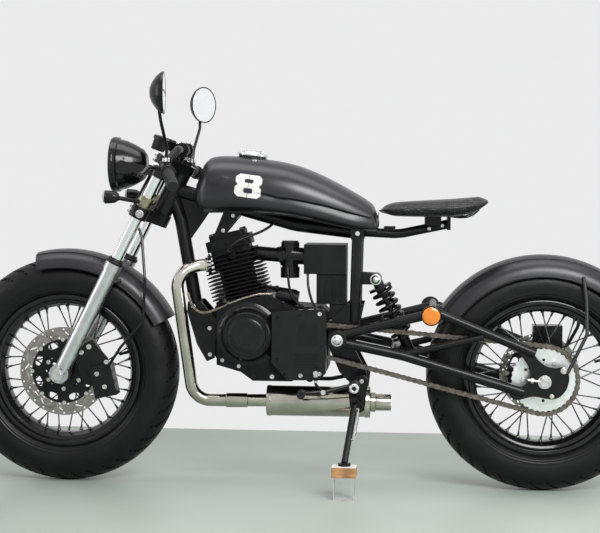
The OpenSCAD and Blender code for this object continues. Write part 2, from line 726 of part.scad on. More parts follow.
module frame_rear() {
    color("#17171a") leaning() difference() {
        union() {
            translate([back_x - 36, -upright_y - 14, 700]) cube([36, 2 * upright_y + 28, 36]);
            y_round([upright_x, 590], -upright_y, upright_y, 12);
            for (m = [-1, 1]) {
                rod([upright_x, m * upright_y, 712], [upright_x + 6, m * upright_y, 470], upright_r);
                side_plate(m > 0 ? plate_y : -plate_y - plate_t, plate_t) polygon([[494, 520], [540, 520],
                    [588, 470], [590, 400], [560, 330], [530, 300], [484, 300], [484, 330], [520, 400]]);
                side_plate(m > 0 ? 18 : -24, 6) polygon([[upright_x + 4, 606], [upright_x + 4, 572],
                    [shock_top[0] - 8, shock_top[1] - 15], [shock_top[0] - 14, shock_top[1]],
                    [shock_top[0] - 8, shock_top[1] + 15]]);
                side_plate(m > 0 ? 94 : -102, 8) polygon([[478, 316], [490, 328], [520, 324], [534, 300],
                    [528, 240], [518, 232], [494, 232], [486, 244]]);
                for (x = [496, 522])
                    y_round([x, 311], m > 0 ? plate_y : -95, m > 0 ? 95 : -plate_y, 8);
            }
            rod(stand_pivot - stand_axis * 26, stand_pivot, 13);
            rod(stand_pivot, stand_pivot + stand_axis * (lug_t + 4), 5.5);
            rod(stand_pivot + stand_axis * (lug_t + 1.2), stand_pivot + stand_axis * (lug_t + 7), 9);
        }
        y_round(pivot, -120, 120, 22 + fit);
        y_round(shock_top, -60, 60, 6 + fit);
    }
}

// Engine

module crankcase() {
    color("#1f1f20") leaning() difference() {
        union() {
            intersection() {
                side_plate(case_right_y, case_y - case_right_y) case_outline();
                translate([600, -200, 200]) cube([case_front - 600, 400, 500]);
            }
            side_plate(-lug_y + fit, 2 * (lug_y - fit)) case_outline();
            side_plate(case_right_y, 50 - case_right_y) polygon([[692, 512], [610, 508], [594, 490],
                [594, 334], [612, 312], [692, 306]]);
            y_round([shaft_x, shaft_z], 40, chain_y + chain_w / 2, 14);
            y_round([shaft_x, shaft_z], chain_y - 3.5, chain_y + 3.5, front_pitch_r - plate_pin_h - fit);
        }
        difference() {
            y_round([shaft_x, shaft_z], 58, case_y + 1, front_pitch_r + plate_pin_h + 6);
            y_round([shaft_x, shaft_z], 57, chain_y + chain_w / 2, 14);
            y_round([shaft_x, shaft_z], chain_y - 3.5, chain_y + 3.5, front_pitch_r - plate_pin_h - fit);
        }
    }
}

module case_outline() {
    polygon([on_engine(78, cyl_base_v), on_engine(-78, cyl_base_v), [688, 512], [672, 494], [672, 316],
        [690, 306], [798, 306], [832, 330], [902, 350], [928, 396], [932, 448]]);
}

module engine_covers() {
    color("#242425") leaning() {
        y_round([crank_x, crank_z], case_y, case_y + 26, 66);
        y_round([crank_x, crank_z], case_y + 26, case_y + 36, 52);
        side_plate(case_y, 24) polygon([[744, 500], [690, 506], [604, 510], [594, 492], [594, 334],
            [612, 314], [700, 312], [744, 360]]);
        y_round([760, 420], case_right_y - 34, case_right_y, 82);
        y_round([846, 430], case_right_y - 28, case_right_y, 50);
    }
}

module barrel() {
    intake = intake_path();
    port = exhaust_path();
    out = unit(port[1] - port[0]);
    color("#19191a") leaning() difference() {
        engine_frame() {
            translate([0, 0, cyl_base_v]) cylinder(h = head_v - cyl_base_v, r = 50);
            translate([0, 0, cyl_base_v]) linear_extrude(height = 9) pill(146, 128, 14);
            for (k = [0 : fin_count - 1]) translate([0, 0, cyl_base_v + 14 + k * fin_step])
                linear_extrude(height = fin_t) pill(fin_l, fin_w, 16);
            translate([0, 0, head_v - 2]) linear_extrude(height = cover_v - head_v + 2) pill(112, 100, 20);
            for (k = [0 : 3]) translate([0, 0, head_v + 2 + k * fin_step * 1.15])
                linear_extrude(height = fin_t) pill(fin_l - 4 - 5 * k, fin_w - 4 - 4 * k, 18);
            translate([0, 0, cover_v]) linear_extrude(height = top_v - cover_v - 14) pill(128, 108, 20);
            translate([0, 0, top_v - 14]) linear_extrude(height = 14) pill(104, 84, 16);
        }
        rod(intake[0], intake[1], intake_r + fit);
        rod(port[0] - out * fit, port[0] + out * 40, port_flange_r + fit);
    }
}

// Ends of the rubber stub between the head and the carburettor
function intake_path() = let(p = on_engine(-50, head_v + 26)) [[p[0], 0, p[1]], [724, 0, 650]];

// Route of the exhaust pipe from the head to the silencer
function exhaust_path() = let(p = on_engine(62, port_v)) [[p[0], 30, p[1]], [p[0] + 36, 34, p[1] - 3],
    [1021, 58, 600], [971, 50, muffler_z], [muffler_front, muffler_y, muffler_z]];

module carburettor() {
    p = intake_path();
    way = unit(p[1] - p[0]);
    color("#2b2b2d") leaning() {
        rod(p[0] + way * fit, p[1], intake_r);
        rod([736, 0, 647], [716, 0, 652], 27);
        rod([716, 0, 652], [box_front + 2.2, 0, 648], 24);
        translate([704, 0, 600]) cylinder(h = 92, r = 23);
        translate([704, 0, 588]) cylinder(h = 30, r = 27);
        translate([704, 0, 672]) cylinder(h = 16, r = 26);
    }
}

module electrics_box() {
    color("#161617") leaning() {
        translate([544, -46, 474]) cube([46, 92, 60]);
        translate([544, -50, 518]) cube([82, 100, 84]);
        translate([544, -58, 602]) cube([box_front - 544, 116, 82]);
        for (m = [-1, 1]) for (k = [0 : 3])
            translate([556 + 20 * k, m > 0 ? 50 : -52, 526]) cube([6, 2, 66]);
    }
}

// Exhaust

module exhaust_pipe() {
    path = exhaust_path();
    color("#8d8a80") leaning() {
        tube(path, pipe_r, 55, 16);
        rod(path[0], path[0] + unit(path[1] - path[0]) * 9, port_flange_r);
    }
}

module muffler() {
    back = muffler_front - muffler_len;
    color("#99948a") leaning() translate([back, muffler_y, muffler_z]) rotate([0, 90, 0]) difference() {
        union() {
            translate([0, 0, 6]) cylinder(h = muffler_len - 8, r = muffler_r);
            cylinder(h = 14, r = muffler_r + 2);
            translate([0, 0, muffler_len - 14]) cylinder(h = 12, r = muffler_r + 1.5);
            translate([0, 0, muffler_len - 4]) cylinder(h = 4, r = pipe_r + 5);
            translate([0, 0, -14]) cylinder(h = 16, r = 27);
            translate([0, 0, -tail_len]) cylinder(h = tail_len - 12, r = tail_bore_r + 3);
        }
        translate([0, 0, muffler_len - 14]) cylinder(h = 20, r = pipe_r + fit);
        translate([0, 0, -tail_len - 1]) cylinder(h = tail_len + 91, r = tail_bore_r);
    }
}

// Rear end

module arm(m) {
    y = m * arm_y;
    tube([[pivot[0] - 14, y, pivot[1] + 14], [292, y, 505], [26, y, 396]], arm_r, 45);
    tube([[pivot[0] - 10, y, pivot[1] - 6], [384, y, 386], [56, y, 290]], arm_r + 1, 160);
    rod([384, y, 388], [166, y, 440], arm_r - 3);
    y_round(pivot, y - 14, y + 14, 26);
    difference() {
        side_plate(y - 5, 10) polygon([[80, 410], [35, axle_z + 84], [18, axle_z + 59],
            [-3, axle_z + 43], [-30, axle_z + 38], [-50, axle_z + 44], [-63, axle_z + 32],
            [-67, axle_z + 7], [-59, axle_z - 22], [-41, axle_z - 42], [-20, axle_z - 48],
            [5, axle_z - 44], [29, axle_z - 39], [53, 274], [74, 268], [92, 276], [97, 293],
            [74, 302], [53, 310], [38, axle_z + 11], [42, axle_z + 40], [60, 386]]);
        y_round([0, axle_z], y - 20, y + 20, axle_r + fit);
    }
}

module swingarm() { color("#17171a") leaning() for (m = [-1, 1]) arm(m); }

module swingarm_cross() {
    inside = arm_y - arm_r - fit;
    color("#17171a") leaning() {
        y_round(pivot, -arm_y + 14, arm_y - 14, 22);
        y_round(cross_top, -inside, inside, 10);
        y_round(cross_low, 1 - inside, inside - 1, 15);
        difference() {
            for (m = [-1, 1]) side_plate(m > 0 ? 17 : -23, 6) polygon([[cross_low[0], cross_low[1] + 14],
                [cross_low[0], cross_low[1] - 14], [shock_low[0] - 10, shock_low[1] - 14],
                [shock_low[0] - 15, shock_low[1]], [shock_low[0] - 8, shock_low[1] + 14]]);
            y_round(shock_low, -60, 60, 6 + fit);
        }
    }
}

module rear_axle() {
    color("#b0b2b4") leaning() difference() {
        union() {
            y_round([0, axle_z], -axle_end, axle_end, axle_r);
            for (m = [-1, 1]) mirror([0, m < 0 ? 1 : 0, 0]) {
                translate([0, arm_y + 5, axle_z]) rotate([-90, 0, 0]) cylinder(h = 12, r = 15, $fn = 6);
                y_round([0, axle_z], chain_y + 6, arm_y - 5, 15);
            }
        }
        y_round([0, axle_z], -axle_end - 1, axle_end + 1, axle_bore_r);
    }
}

module shock_body() {
    d = unit([shock_low[0] - shock_top[0], 0, shock_low[1] - shock_top[1]]);
    t = [shock_top[0], 0, shock_top[1]];
    b = [shock_low[0], 0, shock_low[1]];
    color("#1e1e20") leaning() {
        for (c = [shock_top, shock_low]) {
            y_round(c, -17 + fit, 17 - fit, 15);
            y_round(c, -30, 30, 6);
        }
        rod(t, t + d * 52, 15);
        rod(t + d * (seat_top - 8), t + d * seat_top, 33);
        rod(t + d * 40, t + d * 130, 8);
        rod(b - d * 130, b, 15);
        rod(b - d * seat_bot, b - d * (seat_bot - 8), 33);
    }
}

module shock_spring() {
    d = unit([shock_low[0] - shock_top[0], 0, shock_low[1] - shock_top[1]]);
    gap = norm(shock_low - shock_top) - seat_top - seat_bot;
    wire = 5.5;
    turns = 6.5;
    steps = 91;
    sides = 8;
    tilt = atan2(d[0], d[2]);
    start = seat_top + fit + wire;
    rise = (gap - 2 * wire - 2 * fit) / steps;
    rings = [for (k = [0 : steps]) let(a = 360 * turns * k / steps, z = start + rise * k)
        [for (j = [0 : sides - 1]) let(q = 360 * j / sides)
            [(27 + wire * cos(q)) * cos(a), (27 + wire * cos(q)) * sin(a), z - wire * sin(q)]]];
    color("#101011") leaning() translate([shock_top[0], 0, shock_top[1]]) rotate([0, tilt, 0]) loft(rings);
}

module chain() {
    n = 2 * links;
    side = function(o1, o2) [for (k = [0 : n - 1]) chain_at(chain_len * k / n, k % 2 == 0 ? o1 : o2)];
    color("#3a3a3c") leaning() side_plate(chain_y - chain_w / 2, chain_w) difference() {
        polygon(side(plate_pin_h, plate_mid_h));
        polygon(side(-plate_pin_h, -plate_mid_h));
    }
}

module rear_fender() {
    color("#19191a") leaning() {
        translate([0, 0, axle_z]) fender_sheet(rear_fender_r, fender_half_w, 32, 150, 281);
        difference() {
            for (m = [-1, 1]) rod([292, m * 30, 507], [276, m * 30, 492], 7);
            y_round(cross_top, -arm_y, arm_y, 10 + fit);
        }
        for (m = [-1, 1]) tube([[-104, m * (fender_half_w + 1), 604], [-112, m * 88, 540],
            [-113, m * 108, 450],
            [-60, m * (arm_y + 11.5), 346]], 5, 30);
    }
}

module tail_lamp() {
    a = 132;
    r = rear_fender_r;
    color("#7a1712") leaning() translate([r * cos(a), 0, axle_z + r * sin(a)]) rotate([0, 90 - a, 0]) {
        translate([0, 0, fit]) cylinder(h = 24, r = 9);
        translate([-20, 0, 38]) rotate([0, 90, 0]) translate([0, 0, -26]) cylinder(h = 46, r = 30);
    }
}

module side_reflectors() {
    color("#d8751a") leaning() for (m = [-1, 1]) mirror([0, m < 0 ? 1 : 0, 0]) {
        y_round([308, 499], arm_y + arm_r + fit, arm_y + 28, 8);
        y_round([308, 499], arm_y + 26, arm_y + 42, 27);
    }
}

module rear_caliper() {
    inner = -disc_y + 5;
    outer = -disc_y - disc_t - 5;
    color("#1d1d1e") leaning() difference() {
        union() {
            translate([-62, outer - 24, axle_z + 74]) cube([82, inner - outer + 34, 62]);
            side_plate(outer - 24, 8) polygon([[-40, axle_z - 10], [-24, axle_z - 30], [22, axle_z - 26],
                [26, axle_z + 10], [20, axle_z + 80], [-50, axle_z + 80]]);
        }
        translate([0, inner, axle_z]) rotate([90, 0, 0]) cylinder(h = inner - outer, r = rear_disc_r + 5);
        y_round([0, axle_z], -150, 0, 15 + fit);
    }
}

module foot_controls() {
    color("#242426") leaning() for (m = [-1, 1]) mirror([0, m < 0 ? 1 : 0, 0]) {
        y_round(peg, 102, 124, 8);
        y_round(peg, 120, 192, 11.5);
        y_round(peg, 104, 116, 14);
        tube([[peg[0] + 4, 110, peg[1] - 2], [594, 124, 284], [656, 142, 281]], 6, 40);
        y_round([658, 281], 136, 178, 8);
    }
    color("#242426") leaning() {
        tube([[600, 126, 283], [621, 130, 304], [621, 130, 336]], 4, 12);
        y_round([621, 336], case_y + 24, 136, 7);
    }
}

module seat_arm() {
    color("#17171a") leaning() {
        difference() {
            tube([[500, 0, 718], [400, 0, 713], [262, 0, 742]], 13, 90);
            translate([back_x - 36, -100, 600]) cube([200, 200, 200]);
        }
        translate([282, -32, 738]) cube([46, 64, seat_low - fit - 738]);
        translate([256, -30, 726]) cube([10, 60, seat_low - fit - 726]);
        translate([410, -14, 722]) cube([30, 28, seat_low - fit - 722]);
    }
}

// Saddle: rings from the nose to the tail, with half width, top and underside
module seat() {
    rings = [[456, 56, 789, 778], [446, 78, 795, 770], [404, 102, 801, seat_low],
        [320, 118, 806, seat_low], [248, 124, 811, seat_low], [196, 112, 816, 769],
        [162, 84, 819, 786], [148, 54, 816, 802]];
    color("#242222") leaning() loft([for (q = rings) section_ring(q[0], q[1], q[2], q[3], 24)]);
}

// Fuel tank: rings from the front to the rear, with half width, top and bottom
module tank() {
    rings = [[963, 62, 840, 796], [956, 86, 872, 778], [940, 102, 908, 769], [915, 112, 926, 769],
        [855, 124, 928, 770], [767, 130, 919, 767], [700, 130, 907, 761], [640, 125, 887, 750],
        [580, 115, 859, 738], [530, 103, 832, 728], [490, 91, 808, 722], [470, 84, 791, 720],
        [459, 76, 762, 723]];
    spine = backbone_path();
    color("#1a1b1d") leaning() difference() {
        union() {
            loft([for (q = rings) section_ring(q[0], q[1], q[2], q[3], 32)]);
            filler_frame() cylinder(h = neck_len, r = cap_r - 6);
        }
        filler_frame() translate([0, 0, neck_len]) cylinder(h = 60, r = cap_r + fit);
        for (i = [0, 1]) {
            d = spine[i] - spine[i + 1];
            a = atan2(d[2], d[0]);
            translate(spine[i + 1]) rotate([0, -a, 0]) translate([-160, -backbone_r - 6, -160])
                cube([norm(d) + 320, 2 * backbone_r + 12, 160 + backbone_r + fit]);
        }
        translate([440, -upright_y - 20, 690]) cube([back_x - 430, 2 * upright_y + 40, 50]);
        translate([830, -38, 690]) cube([66, 76, 100]);
    }
}

module tank_cap() {
    color("#c4c6c8") leaning() filler_frame() translate([0, 0, neck_len]) {
        cylinder(h = 7, r = cap_r);
        translate([0, 0, 7]) cylinder(h = 8, r = cap_r - 13);
        translate([-26, -7, 13]) cube([52, 14, 7]);
    }
}

// Stand

module side_stand() {
    color("#131314") leaning() difference() {
        union() {
            rod(stand_pivot + stand_axis * 0.6, stand_pivot + stand_axis * (lug_t + 0.6), 13);
            rod(stand_start, stand_foot, stand_r);
        }
        rod(stand_pivot - stand_axis * 5, stand_pivot + stand_axis * 30, 5.5 + run);
        translate(stand_foot) rotate([lean_deg, 0, 0]) translate([-30, -30, -40]) cube([60, 60, 40]);
    }
    color("#131314") place() translate([foot_world[0], foot_world[1], block_h])
        cylinder(h = pad_h + 1.5, r = 17);
}

module stand_block() {
    w = 66;
    color("#c99a63") place() translate([foot_world[0] - w / 2, foot_world[1] - 26, 0]) {
        translate([0, 0, block_h - wood_h]) cube([w, 58, wood_h]);
        translate([5, 6, 0]) difference() {
            cube([w - 10, 46, block_h - wood_h]);
            translate([2, -1, 2]) cube([w - 14, 60, block_h - wood_h - 4]);
        }
    }
}

frame_front();
frame_rear();
tank();
tank_cap();
seat();
seat_arm();
crankcase();
engine_covers();
barrel();
carburettor();
electrics_box();
exhaust_pipe();
muffler();
swingarm();
swingarm_cross();
rear_axle();
shock_body();
shock_spring();
chain();
rear_fender();
tail_lamp();
side_reflectors();
rear_caliper();
foot_controls();
stand_block();
side_stand();
rear_tyre();
rear_rim();
rear_hub();
rear_sprocket();
rear_disc();
front_tyre();
front_rim();
front_hub();
front_disc();
fork_clamps();
fork_tubes();
fork_sliders();
front_fender();
front_brake();
headlamp();
headlamp_lens();
handlebar();
grips();
mirrors();
mirror_glass();
speedometer();
front_indicators();
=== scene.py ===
import json
import math

import bmesh
import bpy
from mathutils import Matrix, Vector
from mathutils.bvhtree import BVHTree

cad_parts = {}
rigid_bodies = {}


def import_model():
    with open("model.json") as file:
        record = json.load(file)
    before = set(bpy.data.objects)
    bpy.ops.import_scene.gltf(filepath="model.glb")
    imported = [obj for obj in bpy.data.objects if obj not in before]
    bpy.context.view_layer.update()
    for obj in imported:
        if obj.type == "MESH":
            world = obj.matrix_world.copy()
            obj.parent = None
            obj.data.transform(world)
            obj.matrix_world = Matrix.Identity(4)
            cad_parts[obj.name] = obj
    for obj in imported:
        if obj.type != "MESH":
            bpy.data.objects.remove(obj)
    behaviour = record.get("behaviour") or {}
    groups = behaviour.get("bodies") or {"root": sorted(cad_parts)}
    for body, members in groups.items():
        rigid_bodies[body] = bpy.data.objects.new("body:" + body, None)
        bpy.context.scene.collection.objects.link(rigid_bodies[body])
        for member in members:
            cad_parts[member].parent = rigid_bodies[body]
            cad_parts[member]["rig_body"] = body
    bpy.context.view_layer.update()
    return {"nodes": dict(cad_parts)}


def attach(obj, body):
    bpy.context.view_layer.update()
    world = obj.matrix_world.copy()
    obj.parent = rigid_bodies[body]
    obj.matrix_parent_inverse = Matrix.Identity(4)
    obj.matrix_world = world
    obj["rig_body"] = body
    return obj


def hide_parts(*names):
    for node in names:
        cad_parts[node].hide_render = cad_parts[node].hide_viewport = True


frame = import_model()

# Studio
# A sealed workshop floor ends a good metre behind the machine, against a plain pale background.
# Large soft boxes light it, with a pale glow from the far side, and the camera stands to its left.
scene = bpy.context.scene
scene.view_settings.view_transform = "Standard"


def set_inputs(node, values):
    for socket, value in values.items():
        node.inputs[socket].default_value = value


def added(tree, kind, values=None, data_type=None):
    node = tree.nodes.new("ShaderNode" + kind)
    if data_type:
        node.data_type = data_type
    set_inputs(node, values or {})
    return node


def linked(tree, links):
    for start, end in links:
        tree.links.new(start, end)


scene.world = bpy.data.worlds.new("pale_studio")
scene.world.use_nodes = True
sky_tree = scene.world.node_tree
sky = sky_tree.nodes["Background"]
set_inputs(sky, {"Color": (0.99, 0.99, 1.0, 1)})
outward = added(sky_tree, "TexCoord")
sideways = added(sky_tree, "SeparateXYZ")
far_glow, near_glow, backdrop = 0.72, 0.06, 0.84
far_side = added(sky_tree, "MapRange", {"From Min": -0.40, "From Max": -0.05, "To Min": far_glow,
                                        "To Max": near_glow})
seen = added(sky_tree, "LightPath")
through = added(sky_tree, "Math")
through.operation = "MAXIMUM"
mirrored = added(sky_tree, "Math")
mirrored.operation = "MAXIMUM"
background = added(sky_tree, "Mix", {"B": backdrop})
linked(sky_tree, [(outward.outputs["Generated"], sideways.inputs["Vector"]),
                  (sideways.outputs["Y"], far_side.inputs["Value"]),
                  (seen.outputs["Is Camera Ray"], through.inputs[0]),
                  (seen.outputs["Is Transmission Ray"], through.inputs[1]),
                  (through.outputs["Value"], mirrored.inputs[0]),
                  (seen.outputs["Is Glossy Ray"], mirrored.inputs[1]),
                  (mirrored.outputs["Value"], background.inputs["Factor"]),
                  (far_side.outputs["Result"], background.inputs["A"]),
                  (background.outputs["Result"], sky.inputs["Strength"])])


def studio_paint(name, dark, light, rough, patch):
    paint = bpy.data.materials.new(name)
    paint.use_nodes = True
    tree = paint.node_tree
    shader = tree.nodes["Principled BSDF"]
    set_inputs(shader, {"Roughness": rough})
    where = added(tree, "TexCoord")
    cloud = added(tree, "TexNoise", {"Scale": patch, "Detail": 5})
    tone = added(tree, "ValToRGB")
    for stop, position, colour in zip(tone.color_ramp.elements, (0.35, 0.7), (dark, light)):
        stop.position = position
        stop.color = (*colour, 1)
    linked(tree,
           [(where.outputs["Object"], cloud.inputs["Vector"]), (cloud.outputs["Fac"], tone.inputs["Fac"]),
            (tone.outputs["Color"], shader.inputs["Base Color"])])
    return paint


def studio_sheet(name, corners, paint):
    bm = bmesh.new()
    bm.faces.new([bm.verts.new(c) for c in corners])
    sheet = bpy.data.meshes.new(name)
    bm.to_mesh(sheet)
    sheet.materials.append(paint)
    piece = bpy.data.objects.new(name, sheet)
    scene.collection.objects.link(piece)


floor_end, floor_near, floor_reach = -1.20, 2.6, 3.4
studio_sheet("floor", [(-floor_reach, floor_end, 0), (floor_reach, floor_end, 0),
                       (floor_reach, floor_near, 0), (-floor_reach, floor_near, 0)],
             studio_paint("sealed_floor", (0.37, 0.43, 0.38), (0.46, 0.52, 0.47), 0.46, 0.9))

for name, place, aim, wide, high, watts in [
        ("roof_box", (0.0, 0.2, 3.4), (0.0, -0.2, 0.5), 4.2, 1.4, 56),
        ("key_box", (-1.5, 3.3, 2.6), (-0.1, -0.3, 0.5), 2.2, 1.7, 190),
        ("nose_box", (3.6, 0.9, 1.4), (0.3, -0.2, 0.5), 0.7, 2.0, 20),
        ("tail_box", (-3.6, 0.8, 1.4), (-0.3, -0.2, 0.5), 0.7, 2.0, 24)]:
    lamp = bpy.data.lights.new(name, "AREA")
    lamp.shape = "RECTANGLE"
    lamp.size, lamp.size_y = wide, high
    lamp.energy = watts
    holder = bpy.data.objects.new(name, lamp)
    holder.location = place
    holder.rotation_euler = (Vector(aim) - Vector(place)).to_track_quat("-Z", "Y").to_euler()
    scene.collection.objects.link(holder)

yaw, pitch, roll = math.radians(-4.75), math.radians(-0.87), math.radians(0.52)
level = Vector((-math.sin(yaw), -math.cos(yaw), 0))
ahead = level * math.cos(pitch) + Vector((0, 0, math.sin(pitch)))
over = Vector((0, 0, math.cos(pitch))) - level * math.sin(pitch)
aside = Vector((-math.cos(yaw), math.sin(yaw), 0))
right = aside * math.cos(roll) + over * math.sin(roll)
over = over * math.cos(roll) - aside * math.sin(roll)
eye = bpy.data.cameras.new("photo_view")
eye.lens = 85.2
camera = bpy.data.objects.new("photo_view", eye)
camera.matrix_world = (Matrix.Translation((-0.325, 3.9615, 0.679))
                       @ Matrix((right, over, -ahead)).transposed().to_4x4())
scene.collection.objects.link(camera)
scene.camera = camera

# Frame
# Welded steel: a backbone under the tank, a down tube to the engine and uprights to the swingarm
# pivot. It is powder coated satin black, with zinc bolts through its lugs.
stance = (Matrix.Translation((-0.670, -0.053487, 0.065)) @ Matrix.Rotation(math.radians(-3), 4, "X")
          @ Matrix.Translation((0, 0, -0.065)))

mottle = bpy.data.node_groups.new("mottle", "ShaderNodeTree")
for socket, kind in [("Scale", "Float"), ("Dark", "Color"), ("Light", "Color"), ("Smooth", "Float"),
                     ("Rough", "Float"), ("Grain", "Float")]:
    mottle.interface.new_socket(socket, in_out="INPUT", socket_type="NodeSocket" + kind)
for socket, kind in [("Colour", "Color"), ("Roughness", "Float"), ("Height", "Float")]:
    mottle.interface.new_socket(socket, in_out="OUTPUT", socket_type="NodeSocket" + kind)
given = mottle.nodes.new("NodeGroupInput")
result = mottle.nodes.new("NodeGroupOutput")
where = added(mottle, "TexCoord")
cloud = added(mottle, "TexNoise", {"Detail": 6, "Roughness": 0.62})
grit = added(mottle, "TexNoise", {"Detail": 3})
tint = added(mottle, "Mix", data_type="RGBA")
spread = added(mottle, "MapRange", {"From Min": 0.32, "From Max": 0.68})
sheen = added(mottle, "MapRange")
linked(mottle, [(where.outputs["Object"], cloud.inputs["Vector"]),
             (where.outputs["Object"], grit.inputs["Vector"]),
             (given.outputs["Scale"], cloud.inputs["Scale"]),
             (given.outputs["Grain"], grit.inputs["Scale"]),
             (cloud.outputs["Fac"], spread.inputs["Value"]),
             (spread.outputs["Result"], tint.inputs["Factor"]), (given.outputs["Dark"], tint.inputs["A"]),
             (given.outputs["Light"], tint.inputs["B"]),
             (spread.outputs["Result"], sheen.inputs["Value"]),
             (given.outputs["Smooth"], sheen.inputs["To Min"]),
             (given.outputs["Rough"], sheen.inputs["To Max"]),
             (grit.outputs["Fac"], result.inputs["Height"]),
             (tint.outputs["Result"], result.inputs["Colour"]),
             (sheen.outputs["Result"], result.inputs["Roughness"])])


def finish_of(name, dark, light, smooth, rough, scale=18.0, grain=900.0, bump=0.15, metal=0.0, coat=0.0,
              shine=0.5):
    made = bpy.data.materials.new(name)
    made.use_nodes = True
    tree = made.node_tree
    shader = tree.nodes["Principled BSDF"]
    set_inputs(shader, {"Metallic": metal, "Coat Weight": coat, "Specular IOR Level": shine,
                        "Coat Roughness": 0.12})
    patch = added(tree, "Group")
    patch.node_tree = mottle
    patch.name = "patch"
    set_inputs(patch, {"Scale": scale, "Dark": (*dark, 1), "Light": (*light, 1), "Smooth": smooth,
                       "Rough": rough, "Grain": grain})
    relief = added(tree, "Bump", {"Strength": bump, "Distance": 0.0006})
    relief.name = "relief"
    linked(tree, [(patch.outputs["Colour"], shader.inputs["Base Color"]),
                  (patch.outputs["Roughness"], shader.inputs["Roughness"]),
                  (patch.outputs["Height"], relief.inputs["Height"]),
                  (relief.outputs["Normal"], shader.inputs["Normal"])])
    return made


def settle(bm, name, body, finish, stands_for=(), edge=0.0, sharp=34):
    for face in bm.faces:
        face.smooth = True
    for side in bm.edges:
        side.smooth = len(side.link_faces) == 2 and side.calc_face_angle() < math.radians(sharp)
    mesh = bpy.data.meshes.new(name)
    bm.to_mesh(mesh)
    bm.free()
    mesh.materials.append(finish)
    piece = bpy.data.objects.new(name, mesh)
    scene.collection.objects.link(piece)
    if edge:
        round_off = piece.modifiers.new("rounded_edges", "BEVEL")
        round_off.width = edge
        round_off.segments = 2
        round_off.limit_method = "ANGLE"
        round_off.angle_limit = math.radians(sharp)
        round_off.harden_normals = True
    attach(piece, body)
    if stands_for:
        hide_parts(*stands_for)
    return piece


def copy_of(node):
    bm = bmesh.new()
    bm.from_mesh(frame["nodes"][node].data)
    bmesh.ops.remove_doubles(bm, verts=bm.verts, dist=2e-5)
    bmesh.ops.dissolve_limit(bm, angle_limit=math.radians(0.8), verts=bm.verts, edges=bm.edges)
    return bm


def from_solid(node, finish, edge, sharp=34):
    body = frame["nodes"][node]["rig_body"]
    settle(copy_of(node), node + "_shown", body, finish, [node], edge, sharp)


def upright(bm, name, body, finish, stands_for=(), edge=0.0, sharp=34):
    bmesh.ops.remove_doubles(bm, verts=bm.verts, dist=1e-6)
    bmesh.ops.recalc_face_normals(bm, faces=bm.faces)
    bm.transform(stance)
    return settle(bm, name, body, finish, stands_for, edge, sharp)


def toward(at, axis):
    return Matrix.Translation(at) @ Vector(axis).to_track_quat("Z", "X").to_matrix().to_4x4()


def add_bar(bm, a, b, r, sides=12, r_end=None):
    a, b = Vector(a), Vector(b)
    return bmesh.ops.create_cone(bm, cap_ends=True, segments=sides, radius1=r,
                                 radius2=r if r_end is None else r_end, depth=(b - a).length,
                                 matrix=toward((a + b) / 2, b - a))["verts"]


def add_bolt(bm, at, axis, r, h, hollow=False):
    at, axis = Vector(at), Vector(axis).normalized()
    add_bar(bm, at, at + axis * h * 0.22, r * 1.25, 20)
    head = add_bar(bm, at + axis * h * 0.2, at + axis * h, r, 16 if hollow else 6, r * 0.93)
    if hollow:
        lid = max({f for v in head for f in v.link_faces},
                  key=lambda f: f.normal.dot(axis) * 10 + f.calc_area())
        bmesh.ops.inset_individual(bm, faces=[lid], thickness=r * 0.38, depth=0)
        bmesh.ops.translate(bm, verts=lid.verts, vec=-axis * h * 0.5)


frame_paint = finish_of("frame_paint", (0.004, 0.004, 0.0045), (0.007, 0.007, 0.008), 0.24, 0.34, 14,
                        1400, 0.02, shine=0.22)
for node, edge in [("frame_front", 0.0015), ("frame_rear", 0.0015), ("swingarm_cross", 0.0012)]:
    from_solid(node, frame_paint, edge)

zinc = finish_of("zinc_bolts", (0.50, 0.50, 0.48), (0.68, 0.68, 0.66), 0.22, 0.42, 60, 500, 0.05,
                 metal=1.0)
bm = bmesh.new()
for side in (-1, 1):
    for x, z, y, r in [(0.972, 0.508, 0.046, 0.0052), (0.926, 0.446, 0.046, 0.0046),
                       (0.925, 0.372, 0.046, 0.0046), (0.862, 0.762, 0.032, 0.0044),
                       (0.890, 0.720, 0.032, 0.0044), (0.360, 0.374, 0.030, 0.008),
                       (0.496, 0.311, 0.102, 0.0048), (0.315, 0.729, 0.0125, 0.004),
                       (0.279, 0.738, 0.0125, 0.004), (0.512, 0.716, 0.068, 0.005)]:
        add_bolt(bm, (x, side * y, z), (0, side, 0), r, 0.009)
upright(bm, "frame_bolts", "chassis", zinc)

# Engine
# An air cooled single: cast crankcase, finned barrel and head, round generator cover on the left.
# The castings are sprayed black and bolted together with small cap screws, a few of them left bright.
engine_paint = finish_of("engine_paint", (0.004, 0.004, 0.0045), (0.007, 0.007, 0.0075), 0.16, 0.27, 30,
                         700, 0.08, shine=0.3)
case_paint = finish_of("case_paint", (0.004, 0.004, 0.0043), (0.008, 0.008, 0.0085), 0.40, 0.56, 30, 700,
                       0.22, shine=0.12)
from_solid("crankcase", case_paint, 0.004)
from_solid("engine_covers", engine_paint, 0.007)
from_solid("barrel", case_paint, 0.0006)
from_solid("carburettor", engine_paint, 0.0015)


def turned(outline, steps=64, loop=False):
    bm = bmesh.new()
    points = [bm.verts.new((r, 0, h)) for r, h in outline]
    for a, b in zip(points, points[1:] + points[:1] if loop else points[1:]):
        bm.edges.new((a, b))
    bmesh.ops.spin(bm, geom=bm.verts[:] + bm.edges[:], cent=(0, 0, 0), axis=(0, 0, 1), angle=2 * math.pi,
                   steps=steps, use_merge=True)
    bmesh.ops.remove_doubles(bm, verts=bm.verts, dist=1e-6)
    return bm


